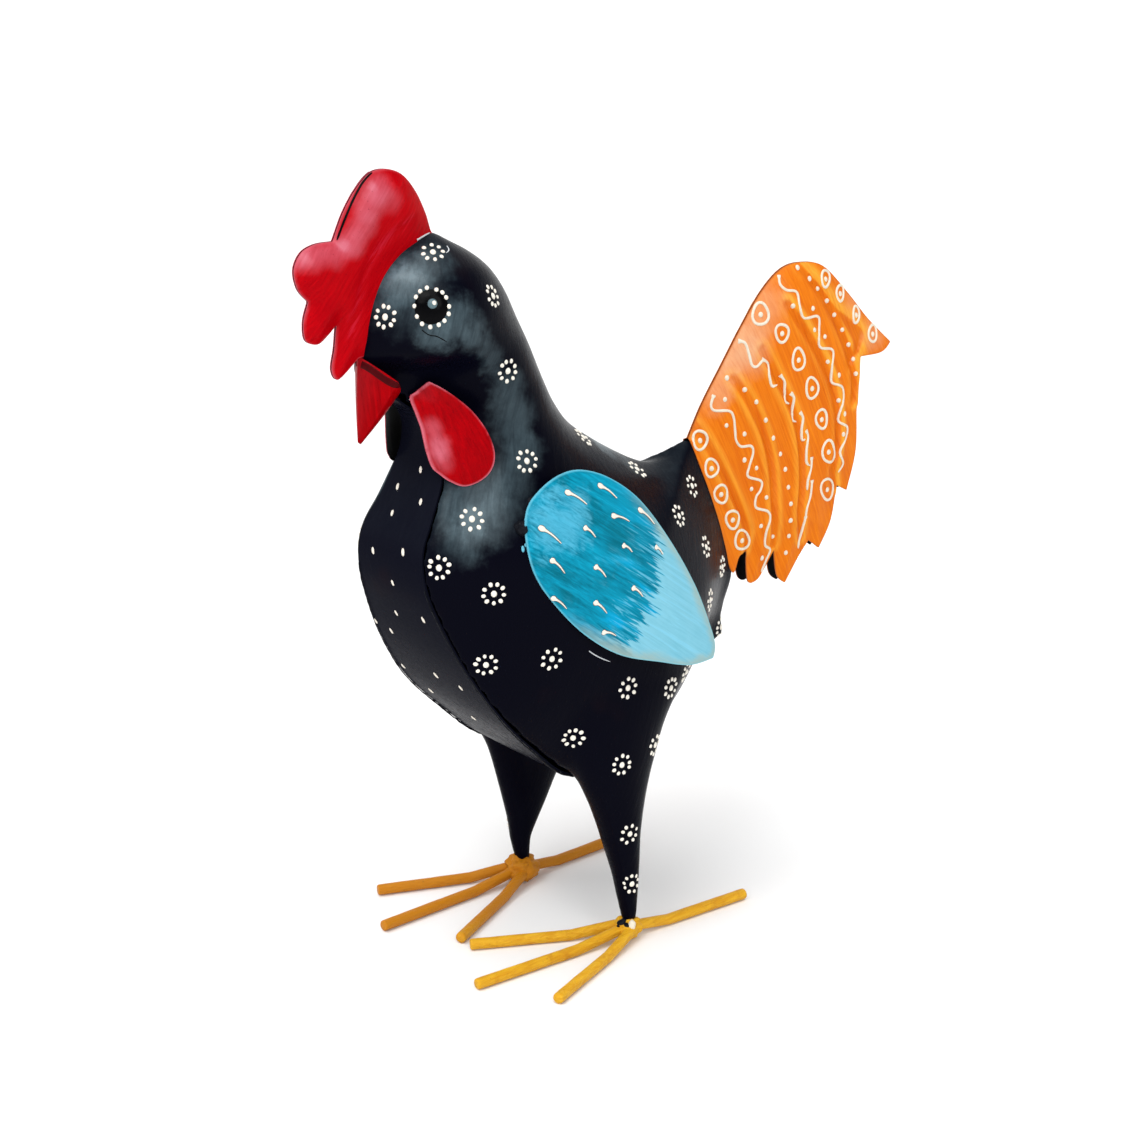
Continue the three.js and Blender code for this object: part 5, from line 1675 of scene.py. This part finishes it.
def bead_tube(path, radius, wobble, scale, sides=10):
    """A closed uneven tube along a path in drawing mm."""
    rings = []
    for i, point in enumerate(path):
        way = path[min(i + 1, len(path) - 1)] - path[max(i - 1, 0)]
        way = way / np.linalg.norm(way)
        side = np.cross(way, (0, 1, 0)) if abs(way[1]) < 0.9 else np.cross(way, (1, 0, 0))
        side = side / np.linalg.norm(side)
        other = np.cross(way, side)
        ring = []
        for angle in np.linspace(0, 2 * np.pi, sides, endpoint=False):
            out = side * math.cos(angle) + other * math.sin(angle)
            rough = 1 + wobble * noise.noise(Vector(point + out * 2) * scale * MM)
            ring.append(point + out * radius[i] * rough)
        rings.append(ring)
    return capped(np.array(rings))


stops = np.linspace(SEAM_FROM, SEAM_TO, SEAM_STEPS)
row = station_at(stops / LAST)
for side, sign in (("left", -1), ("right", 1)):
    rim = np.stack([row[0], (row[4] - SEAM_SET_IN) * sign, row[1]], 1)
    size = 0.2 + 0.3 * np.clip((stops - 15) / 3, 0, 1)
    placed(side + "_breast_seam", *bead_tube(rim, size, 0.8, 330), [WELD_BLACK], slot="body_black")
print("weld along the band", round(float(np.linalg.norm(np.diff(rim, axis=0), axis=1).sum())), "mm")

# %% [markdown]
# ## Lumps of weld
# A lump of weld holds each wing at the shoulder, and one joins the toes to the leg. A ball
# pushed in and out by noise has the same rough, rounded surface as metal that ran and froze.

# %% Weld lumps
def lump(centre, radii, wobble, scale, rows=26, columns=36):
    """An uneven ball round a centre in drawing mm."""
    polar, turn_angle = np.meshgrid(np.linspace(0.02, math.pi - 0.02, rows),
                                    np.linspace(0, 2 * np.pi, columns, endpoint=False), indexing="ij")
    way = np.stack([np.sin(polar) * np.cos(turn_angle), np.sin(polar) * np.sin(turn_angle), np.cos(polar)], -1)
    rough = np.array([[1 + wobble * (noise.noise(Vector(w) * scale) + 0.5 * noise.noise(Vector(w) * scale * 2.3))
                       for w in row] for row in way])
    return capped(np.array(centre) + way * np.array(radii) * rough[..., None])


shoulder_depth = float(wing_depth(-72, 247)[0])
shoulder_lump = lump((-72.5, -shoulder_depth + 5.5, 247), (3.6, 5.4, 3.6), 0.22, 2.2)
for side in ("left", "right"):
    placed(side + "_shoulder_weld", *for_side(side, *shoulder_lump), [WELD_BLACK], None,
           side + "_wing_weld", "body_black")
print("shoulder welds at depth", round(shoulder_depth, 1), "mm")

# %% [markdown]
# ## Feet of rod
# Each foot is three toes forward and one back, cut from round rod and bent down from the
# ankle. The rod is swept along its bent line with a little unevenness from the saw and the
# thick paint. Its seed differs from toe to toe, so no two are alike.

# %% Toes
ROD, ANKLE, KINK = 6.0, 7.0, 0.34
TOE_IN, INNER_SPLAY, OUTER_SPLAY, TOE_PITCH = 2.6, 24.5, 24.0, 4.5
FORWARD = math.radians(180 - TOE_IN)
INNER_LENGTH = (LEG_SPREAD - TOE_PITCH - 4.49) / math.sin(math.radians(TOE_IN + INNER_SPLAY))
TOES = {  # start along the line and length in mm, heading, and the shift to the side
    "middle": (0.5, 98, FORWARD, 0),
    "inner": (3, INNER_LENGTH, FORWARD - math.radians(INNER_SPLAY), TOE_PITCH),
    "outer": (3, 80.5, FORWARD + math.radians(OUTER_SPLAY), -TOE_PITCH),
    "rear": (0.5, 82, FORWARD + math.pi, 0),
}


def toe(start, length, heading, aside, seed, sides=24):
    """A rod that drops from the ankle to the floor and lies flat from its kink on."""
    kink = length * KINK
    stops = np.concatenate([[0, 0.35, 1.0], np.linspace(2, length - start - 2, 70),
                            [length - start - 1.0, length - start - 0.35, length - start]])
    rings = []
    for stop in stops:
        along = start + stop
        height = ROD / 2 + max(kink - along, 0) * (ANKLE - ROD / 2) / kink
        ends = min(stop, length - start - stop)
        size = 0.8 + 0.2 * math.sqrt(1 - (1 - min(ends, 1.0)) ** 2)
        ring = []
        for angle in np.linspace(0, 2 * np.pi, sides, endpoint=False):
            out = np.array([0, math.cos(angle), math.sin(angle)])
            rough = noise.noise(Vector((along * 0.16, out[1] * 1.1, out[2] * 1.1 + seed)))
            rough += 0.5 * noise.noise(Vector((along * 0.6, out[1] * 2, out[2] * 2 + seed)))
            reach = (ROD / 2) * size * (1 + 0.035 * rough) - 0.02
            ring.append((along, out[1] * reach, height + out[2] * reach))
        rings.append(ring)
    rings = np.array(rings)
    rings[..., 2] = np.maximum(rings[..., 2], 0.02)
    cos, sin = math.cos(heading), math.sin(heading)
    x, y = rings[..., 0].copy(), rings[..., 1].copy()
    rings[..., 0], rings[..., 1] = x * cos - y * sin, x * sin + y * cos + aside - LEG_SPREAD
    return capped(rings)


for number, (name, (start, length, heading, aside)) in enumerate(TOES.items()):
    for side, seed in (("left", number * 7), ("right", number * 7 + 3.3)):
        rod = toe(start, length, heading, aside, seed)
        placed(f"{side}_{name}_rod", *for_side(side, *rod), [FOOT_YELLOW], None, f"{side}_{name}_toe",
               "foot_yellow", 50)
print("toes rebuilt, the inner ones", round(INNER_LENGTH, 1), "mm long")

# %% Lumps at the ankles
LUMP_FLOOR = 0.8
for side, seed, grown in (("left", 2.1, 1.0), ("right", 2.6, 1.3)):
    points, faces = lump((0.6, -LEG_SPREAD, ANKLE), (7.4 * grown, 7.4 * grown, 6.2 * grown), 0.24, seed)
    points[:, 2] = np.maximum(points[:, 2], LUMP_FLOOR)
    if side == "left":
        trees["ankle"] = tree_of(to_frame(points), faces)
    placed(side + "_ankle_lump", *for_side(side, points, faces), [FOOT_YELLOW], None, side + "_ankle_weld",
           "foot_yellow", 60)
print("ankle lumps, the far one", grown, "times the near one")

# %% [markdown]
# ## Stub beside the far leg
# A short end of the same rod stands against the far leg, left over from the welding. Only
# its upper end shows, so it is a plain bent rod from the ankle to that end.

# %% Rod stub beside the far leg
STUB_DEPTH = 42
stub_x, stub_z = seen_on(STUB_DEPTH, (523.5, 862))[0]
stub = np.array([(1.5, LEG_SPREAD - 3, 7.0), (stub_x, STUB_DEPTH, stub_z - 3), (stub_x + 0.2, STUB_DEPTH, stub_z)])
stub = catmull(stub, np.linspace(0, 1, 24), clamped=True)
placed("far_foot_stub", *bead_tube(stub, np.full(24, 3.0), 0.12, 150, 20), [FOOT_YELLOW], slot="foot_yellow")
print("stub reaches", round(float(stub[:, 2].max()), 1), "mm up")

# %% [markdown]
# ## Scratches, chips and small marks
# Handling and hasty work left small marks: a crack in the thick paint under the eye and blue
# specks by the shoulder. Pale beads and dabs paint highlights in: a light line along the edge
# where the crown was bent over the head, and glints on the shoulder weld and along edges, with
# bare metal in one speck. Thin beads and dabs laid on the sheet make them part of the shape.

# %% Small marks on the body
CRACK = [[(422, 330), (429, 335), (437, 336.5), (447, 342)]]
HEAD_EDGE = [[(387, 255), (377, 268), (369, 285), (364.5, 303), (362, 330), (361, 358)]]
# painted glints along edges, with bare metal in one speck
GLINT_AND_BARE_LINES = [[(589, 651), (595, 655), (603, 659), (610, 661.5)], [(409, 399), (412, 401.5), (413.5, 404)],
              [(447, 246), (449, 250), (446, 253)]]
SPECKS = [(529, 516), (526, 521), (530, 527), (526, 545), (523, 549)]
BLOB, BLOB_GLINT, LINE_HEIGHT = (532.5, 503), (534.5, 506.5), 0.0002
for side, mirror in BOTH_SIDES:
    crack, pale_sheen, glint_brush, specks, blob = (Brushwork(trees["left"]) for _ in range(5))
    for brush, lines, width in ((crack, CRACK, 0.00028), (pale_sheen, HEAD_EDGE, 0.00035), (glint_brush, GLINT_AND_BARE_LINES, 0.00032)):
        for line in lines:
            bead(brush, smooth_run(line, 2.2), width, LINE_HEIGHT)
    for pixel in SPECKS:
        specks.dab(*specks.seen(*pixel), UP, random_marks.uniform(0.0009, 0.0019), 0.0009, 0.0003)
    blob.dab(*blob.seen(*BLOB), UP, 0.0034, 0.0030, 0.0016, 20)
    # a painted glint on the shoulder weld
    glint_brush.dab(*glint_brush.seen(*BLOB_GLINT), UP, 0.0014, 0.0008, 0.0024)
    crack.piece(side + "_paint_crack", EYE_BLACK, mirror)
    # pale bead: a painted highlight along the head's edge
    pale_sheen.piece(side + "_head_edge_line", EDGE_HIGHLIGHT_PINK, mirror)
    glint_brush.piece(side + "_bare_glints", GLINT_AND_BARE_METAL, mirror)
    specks.piece(side + "_blue_specks", BLUE_EDGE, mirror)
    blob.piece(side + "_shoulder_blob", WELD_BLACK, mirror)
print("marks on each side of the body:", len(CRACK + HEAD_EDGE + GLINT_AND_BARE_LINES) + len(SPECKS) + 2)

# %% [markdown]
# ## Marks on the comb and the beak
# The comb's halves stand a little apart; a black bead on the face paints in the dark of that
# gap as painted shade, and a pale bead along the lower edge is a painted glint. A lip of red
# sheet laps over the beak where it was welded on.

# %% Marks on the comb and the beak
COMB_MARKS = {  # name: sheet, paint, width and height of the line, lines
    # painted shade of the gap between the comb's halves
    "_comb_gap": ("comb_half", EYE_BLACK, 0.0006, 0.0003, [
        [(373, 171), (363, 182), (354, 198), (347, 214), (341, 229), (337, 240)],
        [(296, 288), (299, 296), (303, 302), (306, 307)]]),
    # a painted glint on the comb's lower edge
    "_comb_glint": ("comb_half", GLINT_AND_BARE_METAL, 0.0005, 0.0004, [[(417, 240), (423, 236.5), (429.5, 232.8)]]),
    "_beak_lap": ("beak", LAP_RED, 0.0019, 0.0005, [
        [(361.5, 364.5), (368.5, 368), (377, 374), (385, 379.5), (393, 384), (400, 386.5)]]),
}
for side, mirror in BOTH_SIDES:
    for name, (sheet, paint, width, height, lines) in COMB_MARKS.items():
        brush = Brushwork(trees[sheet])
        for line in lines:
            bead(brush, smooth_run(line, 2), width, height)
        brush.piece(side + name, paint, mirror)
print("marks on the comb and the beak:", 2 * len(COMB_MARKS))

# %% [markdown]
# ## Marks at the ankles
# The weld at the ankle is burnt dark in three spots, and a thick cream drop has dried beside
# them. Low domes on the lump show both.

# %% Marks at the ankles
BURNT_SPOTS = [((621.5, 922), 0.0030), ((626.5, 925), 0.0021), ((618, 927), 0.0014)]
dabbed("ankle", {
    "_burnt_weld": (WELD_BLACK, [(pixel, size, size * 0.8, 0.0007) for pixel, size in BURNT_SPOTS]),
    "_paint_drip": (TAIL_CREAM, [((632.5, 924.5), 0.0030, 0.0023, 0.0012, 16)]),
})
print("marks at each ankle:", len(BURNT_SPOTS) + 1)


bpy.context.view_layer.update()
shown = [piece for piece in bpy.data.objects if piece.type == "MESH" and not piece.hide_render]
print("faces in all:", sum(len(piece.data.polygons) for piece in shown))
